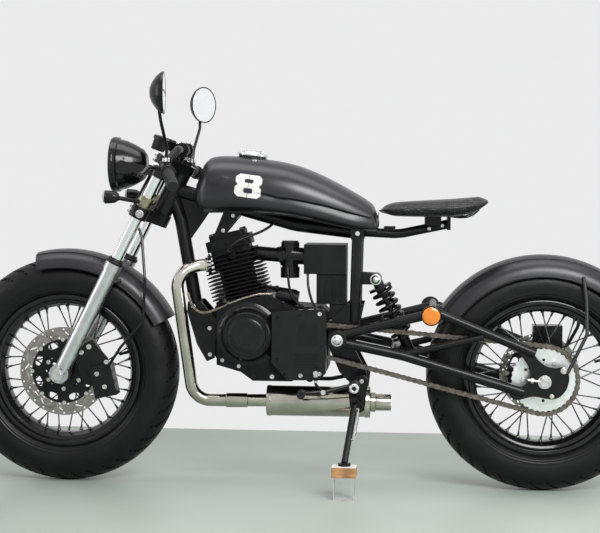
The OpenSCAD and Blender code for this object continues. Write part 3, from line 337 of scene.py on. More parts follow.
def joined(shapes):
    whole = bmesh.new()
    for bm in shapes:
        part = bpy.data.meshes.new("part")
        bm.to_mesh(part)
        whole.from_mesh(part)
        bpy.data.meshes.remove(part)
        bm.free()
    return whole


def moved(bm, matrix):
    bm.transform(matrix)
    return bm


crank = Vector((0.812, 0, 0.435))
cap = turned([(0, 0.0330), (0.012, 0.0330), (0.014, 0.0345), (0.020, 0.0350), (0.0215, 0.0330),
              (0.0235, 0.0330), (0.0250, 0.0372), (0.034, 0.0382), (0.0465, 0.0374), (0.0505, 0.0350),
              (0.0520, 0.0305)], 72)
ring = turned([(0.0575, 0.0250), (0.0585, 0.0285), (0.0615, 0.0290), (0.0640, 0.0268), (0.0655, 0.0235)],
              72)
skirt = turned([(0.0662, 0.0235), (0.0700, 0.0150), (0.0750, 0.0080), (0.0810, 0.0035), (0.0880, 0.0004)],
               72)
upright(moved(joined([cap, ring, skirt]), toward(crank + Vector((0, 0.092, 0)), (0, 1, 0))),
        "generator_cap", "chassis", engine_paint, sharp=50)

bright = finish_of("cap_screws", (0.55, 0.55, 0.54), (0.75, 0.75, 0.74), 0.18, 0.34, 60, 400, 0.04,
                   metal=1.0)
black_oxide = finish_of("black_oxide", (0.020, 0.020, 0.021), (0.050, 0.050, 0.052), 0.24, 0.38, 60, 400,
                        0.04, metal=0.8)
bm = bmesh.new()
for x, y, z, r in [(0.612, 0.1155, 0.497, 0.0046), (0.664, 0.1155, 0.326, 0.0046),
                   (0.612, 0.1155, 0.332, 0.0046), (0.745, 0.0915, 0.318, 0.0050),
                   (0.884, 0.0915, 0.362, 0.0042), (0.838, 0.0915, 0.346, 0.0042)]:
    add_bolt(bm, (x, y, z), (0, 1, 0), r, 0.007, True)
upright(bm, "bright_screws", "chassis", bright)
domes = []
pivot_x, pivot_z = 0.563, 0.426
for x, y, z, r in [(0.462, 0.030, 0.587, 0.012), (pivot_x, 0.129, pivot_z, 0.0125)]:
    for side in (-1, 1):
        dome = turned([(0, 0.0112), (0.35 * r, 0.0108), (0.65 * r, 0.0094), (0.88 * r, 0.0066),
                       (0.96 * r, 0.0036), (r, 0.0030), (1.28 * r, 0.0028), (1.32 * r, 0.0020),
                       (1.32 * r, 0.0)], 32)
        domes.append(moved(dome, toward((x, side * y, z), (0, side, 0))))
upright(joined(domes), "pivot_caps", "chassis", bright, sharp=50)
bm = bmesh.new()
for k in range(3):
    a = math.radians(90 + 120 * k)
    at = crank + Vector((0.0575 * math.cos(a), 0.117, 0.0575 * math.sin(a)))
    add_bolt(bm, at, (0, 1, 0), 0.0045, 0.007, True)
for x, z in [(0.668, 0.494), (0.728, 0.486), (0.708, 0.328), (0.606, 0.412), (0.730, 0.370)]:
    add_bolt(bm, (x, 0.1155, z), (0, 1, 0), 0.0048, 0.007, True)
for x, z in [(0.796, 0.318), (0.886, 0.452), (0.862, 0.486), (0.748, 0.512)]:
    add_bolt(bm, (x, 0.0915, z), (0, 1, 0), 0.0048, 0.007, True)
for k in range(7):
    a = math.radians(20 + 360 / 7 * k)
    add_bolt(bm, (0.760 + 0.071 * math.cos(a), -0.1215, 0.420 + 0.071 * math.sin(a)), (0, -1, 0), 0.0055,
             0.008, True)
tilt = math.radians(14)
along, across = Vector((math.sin(tilt), 0, math.cos(tilt))), Vector((math.cos(tilt), 0, -math.sin(tilt)))
for u, y in [(0.044, 0.034), (0.044, -0.034), (-0.044, 0.034), (-0.044, -0.034)]:
    add_bolt(bm, crank + across * u + along * 0.286 + Vector((0, y, 0)), along, 0.0055, 0.007)
for u in (-0.040, 0.0, 0.040):
    for side in (-1, 1):
        add_bolt(bm, crank + across * u + along * 0.262 + Vector((0, side * 0.0535, 0)), (0, side, 0),
                 0.005, 0.006, True)
upright(bm, "engine_bolts", "chassis", black_oxide)

# Engine's left side
# The sprocket cover has short cast louvres, and a starter motor lies on the crankcase behind the barrel.
# Plug lead, two rubber hoses and a braided clutch cable are swept along their ways.
def add_block(bm, at, size):
    bmesh.ops.create_cube(bm, size=1, matrix=Matrix.Translation(at) @ Matrix.Diagonal((*size, 1)))


bm = bmesh.new()
for k in range(6):
    add_block(bm, (0.622 + 0.0095 * k, 0.117, 0.440), (0.0042, 0.006, 0.062))
for k in range(5):
    add_block(bm, (0.646, 0.117, 0.352 + 0.0085 * k), (0.066, 0.005, 0.0036))
upright(bm, "cover_louvres", "chassis", engine_paint, edge=0.001)


def filleted(points, bend):
    points = [Vector(p) for p in points]
    line = [points[0]]
    for before, corner, after in zip(points, points[1:], points[2:]):
        d1, d2 = (corner - before).normalized(), (after - corner).normalized()
        turn = d1.angle(d2)
        if turn < 0.01:
            continue
        inward = (d2 - d1 * d1.dot(d2)).normalized()
        start = corner - d1 * bend * math.tan(turn / 2)
        steps = max(2, math.ceil(turn / 0.14))
        for k in range(steps + 1):
            q = turn * k / steps
            line.append(start + d1 * bend * math.sin(q) + inward * bend * (1 - math.cos(q)))
    return line + [points[-1]]


def swept(line, r, sides=4, capped=True, smooth=False):
    rail = bpy.data.curves.new("rail", "CURVE")
    rail.dimensions = "3D"
    rail.bevel_depth = r
    rail.bevel_resolution = sides
    rail.use_fill_caps = capped
    run = rail.splines.new("NURBS" if smooth else "POLY")
    run.points.add(len(line) - 1)
    for point, place in zip(run.points, line):
        point.co = (*place, 1)
    if smooth:
        run.use_endpoint_u = True
        run.order_u = 4
        run.resolution_u = 8
    holder = bpy.data.objects.new("rail", rail)
    scene.collection.objects.link(holder)
    bpy.context.view_layer.update()
    mesh = bpy.data.meshes.new_from_object(holder.evaluated_get(bpy.context.evaluated_depsgraph_get()))
    bm = bmesh.new()
    bm.from_mesh(mesh)
    bpy.data.objects.remove(holder)
    bpy.data.curves.remove(rail)
    bpy.data.meshes.remove(mesh)
    return bm


lead_rubber = finish_of("lead_rubber", (0.005, 0.005, 0.005), (0.009, 0.009, 0.009), 0.34, 0.46, 40, 600,
                        0.1, shine=0.25)
plug = crank + across * -0.006 + along * 0.214 + Vector((0, 0.052, 0))
out = (Vector((0, 0.86, 0)) + along * 0.5).normalized()
lead = swept([plug + out * 0.038, plug + out * 0.062, plug + out * 0.066 + Vector((-0.03, -0.004, 0.03)),
              (0.772, 0.062, 0.716), (0.748, 0.034, 0.742)], 0.0038, smooth=True)
boot = moved(turned([(0, 0.050), (0.0075, 0.050), (0.0090, 0.044), (0.0090, 0.030), (0.0115, 0.026),
                     (0.0115, 0.004), (0.0085, -0.010), (0, -0.010)], 24), toward(plug, out))
upright(joined([boot, lead]), "plug_lead", "chassis", lead_rubber, sharp=50)
hoses = [swept(way, 0.0036, smooth=True)
         for way in [[(0.709, 0.030, 0.618), (0.706, 0.040, 0.590), (0.702, 0.056, 0.562),
                      (0.690, 0.070, 0.535), (0.672, 0.084, 0.518), (0.646, 0.096, 0.506)],
                     [(0.650, 0.050, 0.606), (0.650, 0.060, 0.580), (0.646, 0.070, 0.556),
                      (0.636, 0.084, 0.528), (0.624, 0.098, 0.506)]]]
starter = bmesh.new()
add_bar(starter, (0.688, 0.036, 0.534), (0.782, 0.036, 0.548), 0.0235, 36)
add_bar(starter, (0.676, 0.036, 0.532), (0.688, 0.036, 0.534), 0.0190, 36, 0.0235)
add_bar(starter, (0.782, 0.036, 0.548), (0.796, 0.036, 0.550), 0.0250, 36)
add_bar(starter, (0.735, 0.036, 0.541), (0.735, 0.066, 0.566), 0.0060, 12)
upright(joined([*hoses, starter]), "hoses_and_starter", "chassis", engine_paint,
        edge=0.0015, sharp=50)
braid = finish_of("braided_cable", (0.10, 0.085, 0.070), (0.30, 0.27, 0.23), 0.28, 0.42, 160, 1200, 0.3,
                  metal=0.8)
clutch = swept([(0.986, 0.050, 0.545), (0.978, 0.062, 0.518), (0.960, 0.080, 0.496),
                (0.934, 0.088, 0.491), (0.908, 0.090, 0.500), (0.860, 0.088, 0.522),
                (0.812, 0.084, 0.541), (0.778, 0.076, 0.547)], 0.0038, smooth=True)
arm = bmesh.new()
add_bar(arm, (0.786, 0.078, 0.546), (0.744, 0.070, 0.546), 0.0052, 10)
add_bar(arm, (0.744, 0.070, 0.552), (0.744, 0.070, 0.506), 0.0075, 14)
for x, z in [(0.878, 0.524), (0.868, 0.518), (0.770, 0.530), (0.716, 0.520), (0.664, 0.514)]:
    add_bolt(arm, (x, 0.080, z), (0, 0.6, 0.8), 0.0042, 0.008)
upright(joined([clutch, arm]), "clutch_cable", "chassis", braid, sharp=50)

# Air and electrics boxes
# Moulded black plastic boxes between the uprights, with shallow ribs on their sides.
box_plastic = finish_of("box_plastic", (0.004, 0.004, 0.0044), (0.008, 0.008, 0.0085), 0.36, 0.50, 20,
                        1600, 0.2, shine=0.18)
from_solid("electrics_box", box_plastic, 0.004)

# Exhaust
# One stainless pipe bends down in front of the crankcase to a straight silencer. Heat has tinted it straw
# Heat has tinted it pale straw near the head, and the olive tone lower down is a painted reflection of
# the green floor. The outlet is a slotted tube.
# The olive colour of this steel is a painted reflection of the green floor.
steel = finish_of("exhaust_steel", (0.34, 0.33, 0.27), (0.52, 0.51, 0.44), 0.08, 0.19, 9, 260, 0.03,
                  metal=1.0)
tree = steel.node_tree
pipe_place = added(tree, "TexCoord")
rise = added(tree, "SeparateXYZ")
# Blend from the painted olive floor reflection below to the straw heat tint near the head.
straw_over_floor_tint = added(tree, "MapRange", {"From Min": 0.46, "From Max": 0.64})
straw = added(tree, "Mix", {"B": (0.66, 0.63, 0.57, 1)}, "RGBA")
linked(tree, [(pipe_place.outputs["Object"], rise.inputs["Vector"]), (rise.outputs["Z"], straw_over_floor_tint.inputs["Value"]),
             (straw_over_floor_tint.outputs["Result"], straw.inputs["Factor"]),
             (tree.nodes["patch"].outputs["Colour"], straw.inputs["A"]),
             (straw.outputs["Result"], tree.nodes["Principled BSDF"].inputs["Base Color"])])
pipe_y, pipe_z = 0.034, 0.243
pipe_way = [(0.9232, 0.030, 0.6247), (0.9592, 0.034, 0.6217), (1.021, 0.058, 0.600),
            (0.971, 0.050, pipe_z), (0.766, pipe_y, pipe_z)]
pipe = swept(filleted(pipe_way, 0.055), 0.0175, 8)
first = (Vector(pipe_way[1]) - Vector(pipe_way[0])).normalized()
flange = moved(turned([(0.0175, 0.001), (0.0290, 0.001), (0.0295, 0.003), (0.0295, 0.007),
                       (0.0285, 0.009), (0.0215, 0.0095), (0.0205, 0.016), (0.0175, 0.017)], 48),
               toward(pipe_way[0], first))
sleeve = moved(turned([(0.0175, 0.0), (0.0200, 0.001), (0.0205, 0.004), (0.0200, 0.060), (0.0175, 0.062)],
                      48), toward((0.880, 0.0427, pipe_z), (-1, -0.078, 0)))
upright(joined([pipe, flange, sleeve]), "exhaust_pipe_shown", "chassis", steel,
        ["exhaust_pipe"])

shell = turned([(0.0176, 0.2918), (0.0215, 0.2920), (0.0225, 0.2912), (0.0225, 0.2902), (0.0410, 0.2900),
                (0.0432, 0.2888), (0.0435, 0.2790), (0.0422, 0.2775), (0.0420, 0.016), (0.0438, 0.0145),
                (0.0440, 0.002), (0.0425, 0.000), (0.0275, -0.003), (0.0268, -0.014), (0.0235, -0.016),
                (0.0232, -0.054), (0.0222, -0.058), (0.0203, -0.058), (0.0200, -0.050), (0.0200, 0.060),
                (0, 0.060)], 64)
slots = []
for face in shell.faces:
    c = face.calc_center_median()
    step = round(math.degrees(math.atan2(c.y, c.x)) / 5.625 - 0.5) % 8
    if -0.050 < c.z < -0.020 and c.xy.length > 0.0225 and step in (0, 1):
        slots.append(face)
bmesh.ops.inset_region(shell, faces=slots, thickness=0.0006, depth=-0.0016)
upright(moved(shell, toward((0.474, pipe_y, pipe_z), (1, 0, 0))), "muffler_shown", "chassis", steel,
        ["muffler"], sharp=40)

# Swingarm
# Two triangulated tube sides with flame cut ends that hold the axle, painted like the frame.
# Chain adjusters push against the axle in each end.
def extruded(bm, rim, vec):
    flat = bm.faces.new([bm.verts.new(p) for p in rim])
    grown = bmesh.ops.extrude_face_region(bm, geom=[flat])["geom"]
    bmesh.ops.translate(bm, verts=[g for g in grown if isinstance(g, bmesh.types.BMVert)], vec=vec)


sides = []
for side in (-1, 1):
    y = side * 0.115
    sides.append(swept(filleted([(0.549, y, 0.440), (0.292, y, 0.505), (0.026, y, 0.396)], 0.045), 0.013,
                       6))
    sides.append(swept(filleted([(0.553, y, 0.420), (0.384, y, 0.386), (0.056, y, 0.290)], 0.160), 0.014,
                       6))
    sides.append(swept([(0.384, y, 0.388), (0.166, y, 0.440)], 0.010, 5))
    boss = turned([(0, -0.0142), (0.0245, -0.0142), (0.026, -0.0125), (0.026, 0.0125), (0.0245, 0.0142),
                   (0, 0.0142)], 40)
    sides.append(moved(boss, toward((pivot_x, y, pivot_z), (0, 1, 0))))
    plate = bmesh.new()
    outline = [(0.080, 0.410), (0.035, 0.404), (0.018, 0.379), (-0.003, 0.363), (-0.030, 0.358),
               (-0.050, 0.364), (-0.063, 0.352), (-0.067, 0.327), (-0.059, 0.298), (-0.041, 0.278),
               (-0.020, 0.272), (0.005, 0.276), (0.029, 0.281), (0.053, 0.274), (0.074, 0.268),
               (0.092, 0.276), (0.097, 0.293), (0.074, 0.302), (0.053, 0.310), (0.038, 0.331),
               (0.042, 0.360), (0.060, 0.386)]
    extruded(plate, [(x, y - 0.005, z) for x, z in outline], (0, 0.010, 0))
    corners = [e for e in plate.edges if abs(e.verts[0].co.y - e.verts[1].co.y) > 0.005]
    bmesh.ops.bevel(plate, geom=corners, offset=0.008, segments=3, profile=0.5, affect="EDGES",
                    material=-1, clamp_overlap=True)
    sides.append(plate)
upright(joined(sides), "swingarm_shown", "chassis", frame_paint, ["swingarm"], 0.0012)

axle_z = 0.320
bm = bmesh.new()
for side in (-1, 1):
    y, nut_y = side * 0.120, side * 0.124
    add_bar(bm, (0, y, axle_z), (0, nut_y, axle_z), 0.0185, 32)
    add_bar(bm, (0, nut_y, axle_z), (0, y + side * 0.0135, axle_z), 0.0145, 6)
    add_bar(bm, (0, y + side * 0.0135, axle_z), (0, y + side * 0.0172, axle_z), 0.0085, 20)
    add_bar(bm, (0.012, nut_y, 0.3215), (0.046, nut_y, 0.326), 0.0036, 12)
    add_bar(bm, (0.030, nut_y, 0.3235), (0.037, nut_y, 0.3245), 0.0075, 6)
    add_bolt(bm, (-0.0515, y, 0.352), (0, side, 0), 0.0075, 0.008)
    add_bolt(bm, (-0.020, y, 0.281), (0, side, 0), 0.0050, 0.006)
upright(bm, "axle_nuts", "chassis", zinc, edge=0.0006)
axle_steel = finish_of("axle_steel", (0.46, 0.46, 0.46), (0.62, 0.62, 0.62), 0.22, 0.36, 40, 500, 0.04,
                       metal=1.0)
frame["nodes"]["rear_axle"].data.materials.clear()
frame["nodes"]["rear_axle"].data.materials.append(axle_steel)

# Spring leg
# A single coil over damper between the uprights and the swingarm's cross tube, all black.
trim_paint = finish_of("trim_paint", (0.004, 0.004, 0.0045), (0.007, 0.007, 0.0075), 0.18, 0.30, 24, 1000,
                       0.04, shine=0.26)
from_solid("shock_body", trim_paint, 0.001)
top, low = Vector((0.462, 0, 0.587)), Vector((0.360, 0, 0.374))
leg = (low - top).normalized()


def polar(r, a, h=0.0):
    return Vector((r * math.cos(a), r * math.sin(a), h))


def coiled(r, turns, start, end, steps):
    return [polar(r, 2 * math.pi * turns * k / steps, start + (end - start) * k / steps)
            for k in range(steps + 1)]


helix = coiled(0.027, 6.5, 0.0378, (low - top).length - 0.0678, 156)
upright(moved(swept(helix, 0.0055, 4), toward(top, leg)), "shock_spring_shown", "chassis", trim_paint,
        ["shock_spring"], sharp=60)

# Chain
# A roller chain of oiled steel runs from the gearbox sprocket to the rear wheel: narrow and wide
# links in turn, on rollers and riveted pins.
chain_y, rear_teeth, front_teeth = 0.080, 37, 16
pitch, back, front = 0.015875, Vector((0, 0, axle_z)), Vector((0.632, 0, 0.426))
back_r, front_r = [pitch / 2 / math.sin(math.pi / teeth) for teeth in (rear_teeth, front_teeth)]
run = front - back
slope, narrowing = math.atan2(run.z, run.x), math.asin((back_r - front_r) / run.length)
straight = run.length * math.cos(narrowing)
front_arc, back_arc = front_r * (math.pi - 2 * narrowing), back_r * (math.pi + 2 * narrowing)
chain_long = 2 * straight + front_arc + back_arc
rise, fall = slope + math.pi / 2 - narrowing, slope - math.pi / 2 + narrowing


def on_chain(s):
    def around(c, r, a):
        return c + Vector((r * math.cos(a), 0, r * math.sin(a)))
    if s < straight:
        return around(back, back_r, rise) + s * Vector((math.sin(rise), 0, -math.cos(rise)))
    if s < straight + front_arc:
        return around(front, front_r, rise - (s - straight) / front_r)
    if s < 2 * straight + front_arc:
        return around(front, front_r, fall) + (s - straight - front_arc) * Vector((math.sin(fall), 0,
                                                                                   -math.cos(fall)))
    return around(back, back_r, fall - (s - 2 * straight - front_arc) / back_r)


link_end = [(0, -0.0066), (0.0048, -0.0046), (0.0066, 0), (0.0048, 0.0046), (0, 0.0066)]
links = 2 * round(chain_long / pitch / 2)
pins = [on_chain(chain_long * k / links) for k in range(links)]
bm = bmesh.new()
for k, pin in enumerate(pins):
    ahead_pin = pins[(k + 1) % links]
    way = (ahead_pin - pin).normalized()
    lift = Vector((-way.z, 0, way.x))
    inside, outside = (0.0062, 0.0078) if k % 2 else (0.0044, 0.0060)
    waist = (pin + ahead_pin) / 2
    rim_of_link = [pin - way * x + lift * z for x, z in link_end[1:]] + [waist + lift * 0.0050]
    rim_of_link += [ahead_pin + way * x + lift * z for x, z in link_end[::-1]]
    rim_of_link += [waist - lift * 0.0050, pin - lift * 0.0066]
    for side in (-1, 1):
        near = Vector((0, chain_y + side * inside, 0))
        extruded(bm, [p + near for p in rim_of_link], (0, side * (outside - inside), 0))
    for reach, r, sides in [(0.0044, 0.0050, 10), (0.0086, 0.0025, 8)]:
        add_bar(bm, pin + Vector((0, chain_y - reach, 0)), pin + Vector((0, chain_y + reach, 0)), r,
                sides)
chain_steel = finish_of("chain_steel", (0.070, 0.060, 0.050), (0.20, 0.18, 0.155), 0.30, 0.55, 120, 600,
                        0.2, metal=0.9)
upright(bm, "chain_shown", "chassis", chain_steel, ["chain"])

# Wheels
# Steel rims laced with crossing spokes to black hubs, with balloon tyres. The tyres have plain walls,
# two bead ribs and a worn looking road tread cut in slanting grooves.
wheelbase = 1.340
rubber = finish_of("tyre_rubber", (0.004, 0.004, 0.0042), (0.007, 0.007, 0.0073), 0.32, 0.44, 26, 500,
                   0.10, shine=0.2)
rim_paint = finish_of("rim_paint", (0.004, 0.004, 0.0045), (0.006, 0.006, 0.0065), 0.10, 0.18, 16, 900,
                      0.02, shine=0.36)
hub_paint = finish_of("hub_paint", (0.004, 0.004, 0.0044), (0.008, 0.008, 0.0084), 0.24, 0.38, 30, 900,
                      0.08, shine=0.2)
spoke_steel = finish_of("spoke_steel", (0.045, 0.045, 0.048), (0.12, 0.12, 0.125), 0.20, 0.34, 90, 400,
                        0.04, metal=1.0)
wall = [(0.2094, 0.0436), (0.2166, 0.0440), (0.2185, 0.0500), (0.2220, 0.0536), (0.2262, 0.0566),
        (0.2275, 0.0581), (0.2300, 0.0589), (0.2315, 0.0587), (0.2335, 0.0606), (0.2362, 0.0618),
        (0.2378, 0.0617), (0.2450, 0.0639), (0.2550, 0.0650), (0.2650, 0.0643), (0.2740, 0.0622)]
tread_arc = [math.radians(18 + 72 * k / 17) for k in range(18)]
tyre_mid, tyre_r = 0.255, 0.065
tread = [(tyre_mid + tyre_r * math.sin(a), tyre_r * math.cos(a)) for a in tread_arc]
half = wall + tread
tyre_outline = half + [(r, -h) for r, h in half[-2::-1]]
crown_r, tread_half, grooves_round, groove_slant, groove_share = 0.268, 0.056, 40, 22, 0.20
for body, x, node in [("rear_wheel", 0.0, "rear_tyre"), ("front_wheel", wheelbase, "front_tyre")]:
    bm = turned(tyre_outline, 240, loop=True)
    grooves = []
    for face in bm.faces:
        c = face.calc_center_median()
        lane, around_share = abs(c.z), math.atan2(c.y, c.x) / (2 * math.pi)
        if c.xy.length < crown_r or lane > tread_half:
            continue
        slant = (around_share * grooves_round + lane * groove_slant + (0.5 if c.z > 0 else 0)) % 1
        if lane < 0.0034 or (0.010 < lane < 0.054 and slant < groove_share):
            grooves.append(face)
    bmesh.ops.inset_region(bm, faces=grooves, thickness=0.0005, depth=-0.0030)
    upright(moved(bm, toward((x, 0, axle_z), (0, 1, 0))), node + "_shown", body, rubber,
            [node], sharp=42)

bed = [(0.1820, 0.0), (0.1820, 0.0130), (0.1832, 0.0190), (0.1868, 0.0250), (0.1885, 0.0330),
       (0.1905, 0.0372), (0.1950, 0.0385), (0.1972, 0.0400), (0.2000, 0.0402), (0.2018, 0.0430),
       (0.2040, 0.0468), (0.2072, 0.0480), (0.2140, 0.0480), (0.2158, 0.0468), (0.2158, 0.0442),
       (0.2090, 0.0438), (0.2090, 0.0320), (0.1925, 0.0220), (0.1905, 0.0)]
rim_outline = bed + [(r, -h) for r, h in bed[-2:0:-1]]
for body, x, name, left, right_face, boss_r in [("rear_wheel", 0.0, "rear", 0.0765, 0.058, 0.042),
                                                ("front_wheel", wheelbase, "front", 0.058, 0.058, 0.040)]:
    axle = toward((x, 0, axle_z), (0, 1, 0))
    upright(moved(turned(rim_outline, 120, loop=True), axle), name + "_rim_shown", body, rim_paint,
            [name + "_rim"], sharp=38)
    core = turned([(0.0090, -right_face), (boss_r - 0.003, -right_face), (boss_r, -right_face + 0.003),
                   (boss_r, -0.0415), (0.0485, -0.0400), (0.0500, -0.0385), (0.0500, -0.0295),
                   (0.0485, -0.0280), (0.0330, -0.0265), (0.0275, -0.0190), (0.0275, 0.0190),
                   (0.0330, 0.0265), (0.0485, 0.0280), (0.0500, 0.0295), (0.0500, 0.0385),
                   (0.0485, 0.0400), (boss_r, 0.0415), (boss_r, left - 0.003), (boss_r - 0.003, left),
                   (0.0090, left)], 64, loop=True)
    upright(moved(core, axle), name + "_hub_shown", body, hub_paint, [name + "_hub"],
            sharp=40)
    bm, spoke_count = bmesh.new(), 36
    for k in range(spoke_count):
        face, way = (1 if k % 2 == 0 else -1), (1 if (k // 2) % 2 == 0 else -1)
        a = math.radians(360 / spoke_count * k)
        b = a - way * math.radians(58)
        start = polar(0.044, b, face * 0.034 + way * 0.0076)
        end = polar(0.1812, a, face * 0.010 + way * 0.003)
        add_bar(bm, start, end, 0.0019, 8)
        bmesh.ops.create_uvsphere(bm, u_segments=8, v_segments=5, radius=0.0034,
                                  matrix=Matrix.Translation(start))
        inward = (start - end).normalized()
        add_bar(bm, end - inward * 0.001, end + inward * 0.014, 0.0036, 8, 0.0026)
        add_bar(bm, polar(0.1822, a, end.z), polar(0.1787, a, end.z), 0.0058, 12, 0.0044)
    upright(moved(bm, axle), name + "_spokes", body, spoke_steel, sharp=50)
    bm = bmesh.new()
    valve_a = math.radians(-74)
    add_bar(bm, polar(0.1825, valve_a), polar(0.1685, valve_a), 0.0055, 14, 0.0042)
    add_bar(bm, polar(0.1685, valve_a), polar(0.1525, valve_a), 0.0040, 14)
    upright(moved(bm, axle), name + "_valve", body, lead_rubber, sharp=50)

# Brake discs
# A steel ring with slanting slots and drilled holes is riveted to a black carrier with open windows,
# on the left in front and on the right behind.
disc_steel = finish_of("disc_steel", (0.235, 0.215, 0.200), (0.345, 0.325, 0.305), 0.28, 0.42, 45, 800,
                       0.12, metal=1.0)


def looped(bm, ring):
    return [bm.edges.new(pair) for pair in zip(ring, ring[1:] + ring[:1])]


def bulged(share, power):
    return math.copysign(abs(share) ** power, share)


def pierced(rows):
    bm = bmesh.new()
    for r0, r1, count, shift, half_long, half_wide, turn in rows:
        for k in range(count):
            a0, a1 = 2 * math.pi * (k + shift) / count, 2 * math.pi * (k + shift + 1) / count
            mid_a, mid_r = (a0 + a1) / 2, (r0 + r1) / 2
            edge = []
            for s in range(32):
                q = s / 8
                u, v = [(q * 2 - 1, -1), (1, (q - 1) * 2 - 1), (1 - (q - 2) * 2, 1),
                        (-1, 1 - (q - 3) * 2)][int(q)]
                a, r = mid_a + u * (a1 - a0) / 2, mid_r + v * (r1 - r0) / 2
                edge.append(bm.verts.new(polar(r, a)))
            hole = []
            for s in range(32):
                q = 2 * math.pi * (s + 0.5) / 32 - 0.75 * math.pi
                u, v = bulged(math.cos(q), 0.55) * half_long, bulged(math.sin(q), 0.9) * half_wide
                t, n = u * math.cos(turn) - v * math.sin(turn), u * math.sin(turn) + v * math.cos(turn)
                hole.append(bm.verts.new(polar(mid_r + n, mid_a) + polar(t, mid_a + math.pi / 2)))
            bmesh.ops.bridge_loops(bm, edges=looped(bm, edge) + looped(bm, hole))
    bmesh.ops.remove_doubles(bm, verts=bm.verts, dist=2e-5)
    return bm


def thickened(piece, thick):
    wall_of = piece.modifiers.new("thickness", "SOLIDIFY")
    wall_of.thickness, wall_of.offset = thick, 0


for name, body, x, y, outer in [("front_disc", "front_wheel", wheelbase, 0.06025, 0.125),
                                ("rear_disc", "rear_wheel", 0.0, -0.06025, 0.112)]:
    axle = toward((x, y, axle_z), (0, 1, 0))
    inner = 0.088
    band = (outer - inner) / 3
    ring = pierced([(inner, inner + band, 24, 0.0, 0.0030, 0.0028, 0),
                    (inner + band, inner + 2 * band, 12, 0.3, 0.0125, 0.0021, 0.62),
                    (inner + 2 * band, outer, 24, 0.5, 0.0030, 0.0028, 0)])
    bmesh.ops.reverse_faces(ring, faces=[f for f in ring.faces if f.normal.z < 0])
    thickened(upright(moved(ring, axle), name + "_shown", body, disc_steel, [name],
                      sharp=40), 0.0044)
    carrier = pierced([(0.062, 0.0905, 8, 0.0, 0.0150, 0.0085, 0.0),
                       (0.036, 0.062, 8, 0.5, 0.0030, 0.0030, 0)])
    thickened(upright(moved(carrier, axle), name + "_carrier", body, hub_paint, sharp=40),
              0.0056)
    bm = bmesh.new()
    out = 1 if y > 0 else -1
    for k in range(8):
        a = 2 * math.pi * (k + 0.02) / 8
        add_bar(bm, polar(0.0895, a, -0.0036), polar(0.0895, a, 0.0036), 0.0055, 16)
    for k in range(6):
        a = 2 * math.pi * k / 6
        add_bolt(bm, polar(0.050, a, out * 0.0028), (0, 0, out), 0.0048, 0.006, True)
    upright(moved(bm, axle), name + "_rivets", body, zinc)

# Rear sprocket
# A plated steel sprocket, bolted to the left end of the rear hub, with round lightening holes.
plated = finish_of("plated_steel", (0.66, 0.67, 0.67), (0.80, 0.81, 0.81), 0.24, 0.40, 30, 700, 0.08,
                   metal=0.85)
tooth_r, bolt_circle = back_r - 0.0056, 0.056
sprocket_at = toward((0, chain_y, axle_z), (0, 1, 0))
bm = bmesh.new()
gaps = (0.0, 0.0016, 0.0034, 0.0016) * rear_teeth
outline = [bm.verts.new(polar(tooth_r - gap, 2 * math.pi * k / len(gaps))) for k, gap in enumerate(gaps)]
loops = looped(bm, outline)
hole = bmesh.ops.create_circle(bm, segments=40, radius=0.0095)["verts"]
loops += list({e for v in hole for e in v.link_edges})
for k in range(6):
    a = 2 * math.pi * k / 6
    middle = Matrix.Translation(polar(bolt_circle, a))
    hole = bmesh.ops.create_circle(bm, segments=20, radius=0.0045, matrix=middle)["verts"]
    loops += list({e for v in hole for e in v.link_edges})
bmesh.ops.triangle_fill(bm, use_beauty=True, edges=loops)
bmesh.ops.reverse_faces(bm, faces=[f for f in bm.faces if f.normal.z < 0])
piece = upright(moved(bm, sprocket_at), "rear_sprocket_shown", "rear_wheel",
                plated, ["rear_sprocket"], sharp=40)
thickened(piece, 0.0070)
bm = bmesh.new()
for k in range(6):
    a = math.pi * (2 * k + 1) / 6
    add_bolt(bm, polar(bolt_circle, a, 0.0036), (0, 0, 1), 0.0060, 0.007)
upright(moved(bm, sprocket_at), "sprocket_bolts", "rear_wheel", zinc)

# Calipers
# Black cast calipers grip the discs: the front one hangs on its fork leg, the rear one on a plate
# round the axle.
from_solid("rear_caliper", trim_paint, 0.004)
from_solid("front_brake", trim_paint, 0.004)
bm = bmesh.new()
for x, z in [(1.211, 0.352), (1.238, 0.318), (1.216, 0.282)]:
    add_bolt(bm, (x, 0.0918, z), (0, 1, 0), 0.0052, 0.006, True)
for x, z in [(1.264, 0.392), (1.286, 0.376)]:
    add_bolt(bm, (x, 0.0752, z), (0, 1, 0), 0.0060, 0.008)
upright(bm, "front_caliper_bolts", "steering", zinc)
bm = bmesh.new()
for x, z in [(-0.044, 0.440), (0.004, 0.440)]:
    add_bolt(bm, (x, -0.0915, z), (0, -1, 0), 0.0070, 0.008, True)
upright(bm, "rear_caliper_bolts", "chassis", zinc)

# Fenders
# Short rolled steel fenders: one behind the fork, one over the rear wheel on a pair of bent stays.
# The tail lamp sits on the rear one, and amber reflectors stand out from the swingarm.
fender_paint = finish_of("fender_paint", (0.012, 0.0115, 0.0140), (0.016, 0.0155, 0.0185), 0.30, 0.38, 8,
                         1200, 0.03, shine=0.42)
from_solid("front_fender", fender_paint, 0.0008, 50)
from_solid("rear_fender", fender_paint, 0.0008, 50)
for body, name, x, outer, skirt, half_w, low, high in [
        ("steering", "front_fender_beads", wheelbase, 0.344, 0.292, 0.0743, 76, 153),
        ("chassis", "rear_fender_beads", 0.0, 0.340, 0.281, 0.076, 32, 150)]:
    beads = []
    for across_deg in (-89, -36, 36, 89):
        b = math.radians(across_deg)
        r, y = skirt + (outer - skirt) * math.cos(b) ** 0.8, half_w * math.sin(b)
        arc = [math.radians(low + (high - low) * k / 60) for k in range(61)]
        beads.append(swept([(x + r * math.cos(a), y, axle_z + r * math.sin(a)) for a in arc], 0.0018, 2))
    upright(joined(beads), name, body, trim_paint, sharp=60)


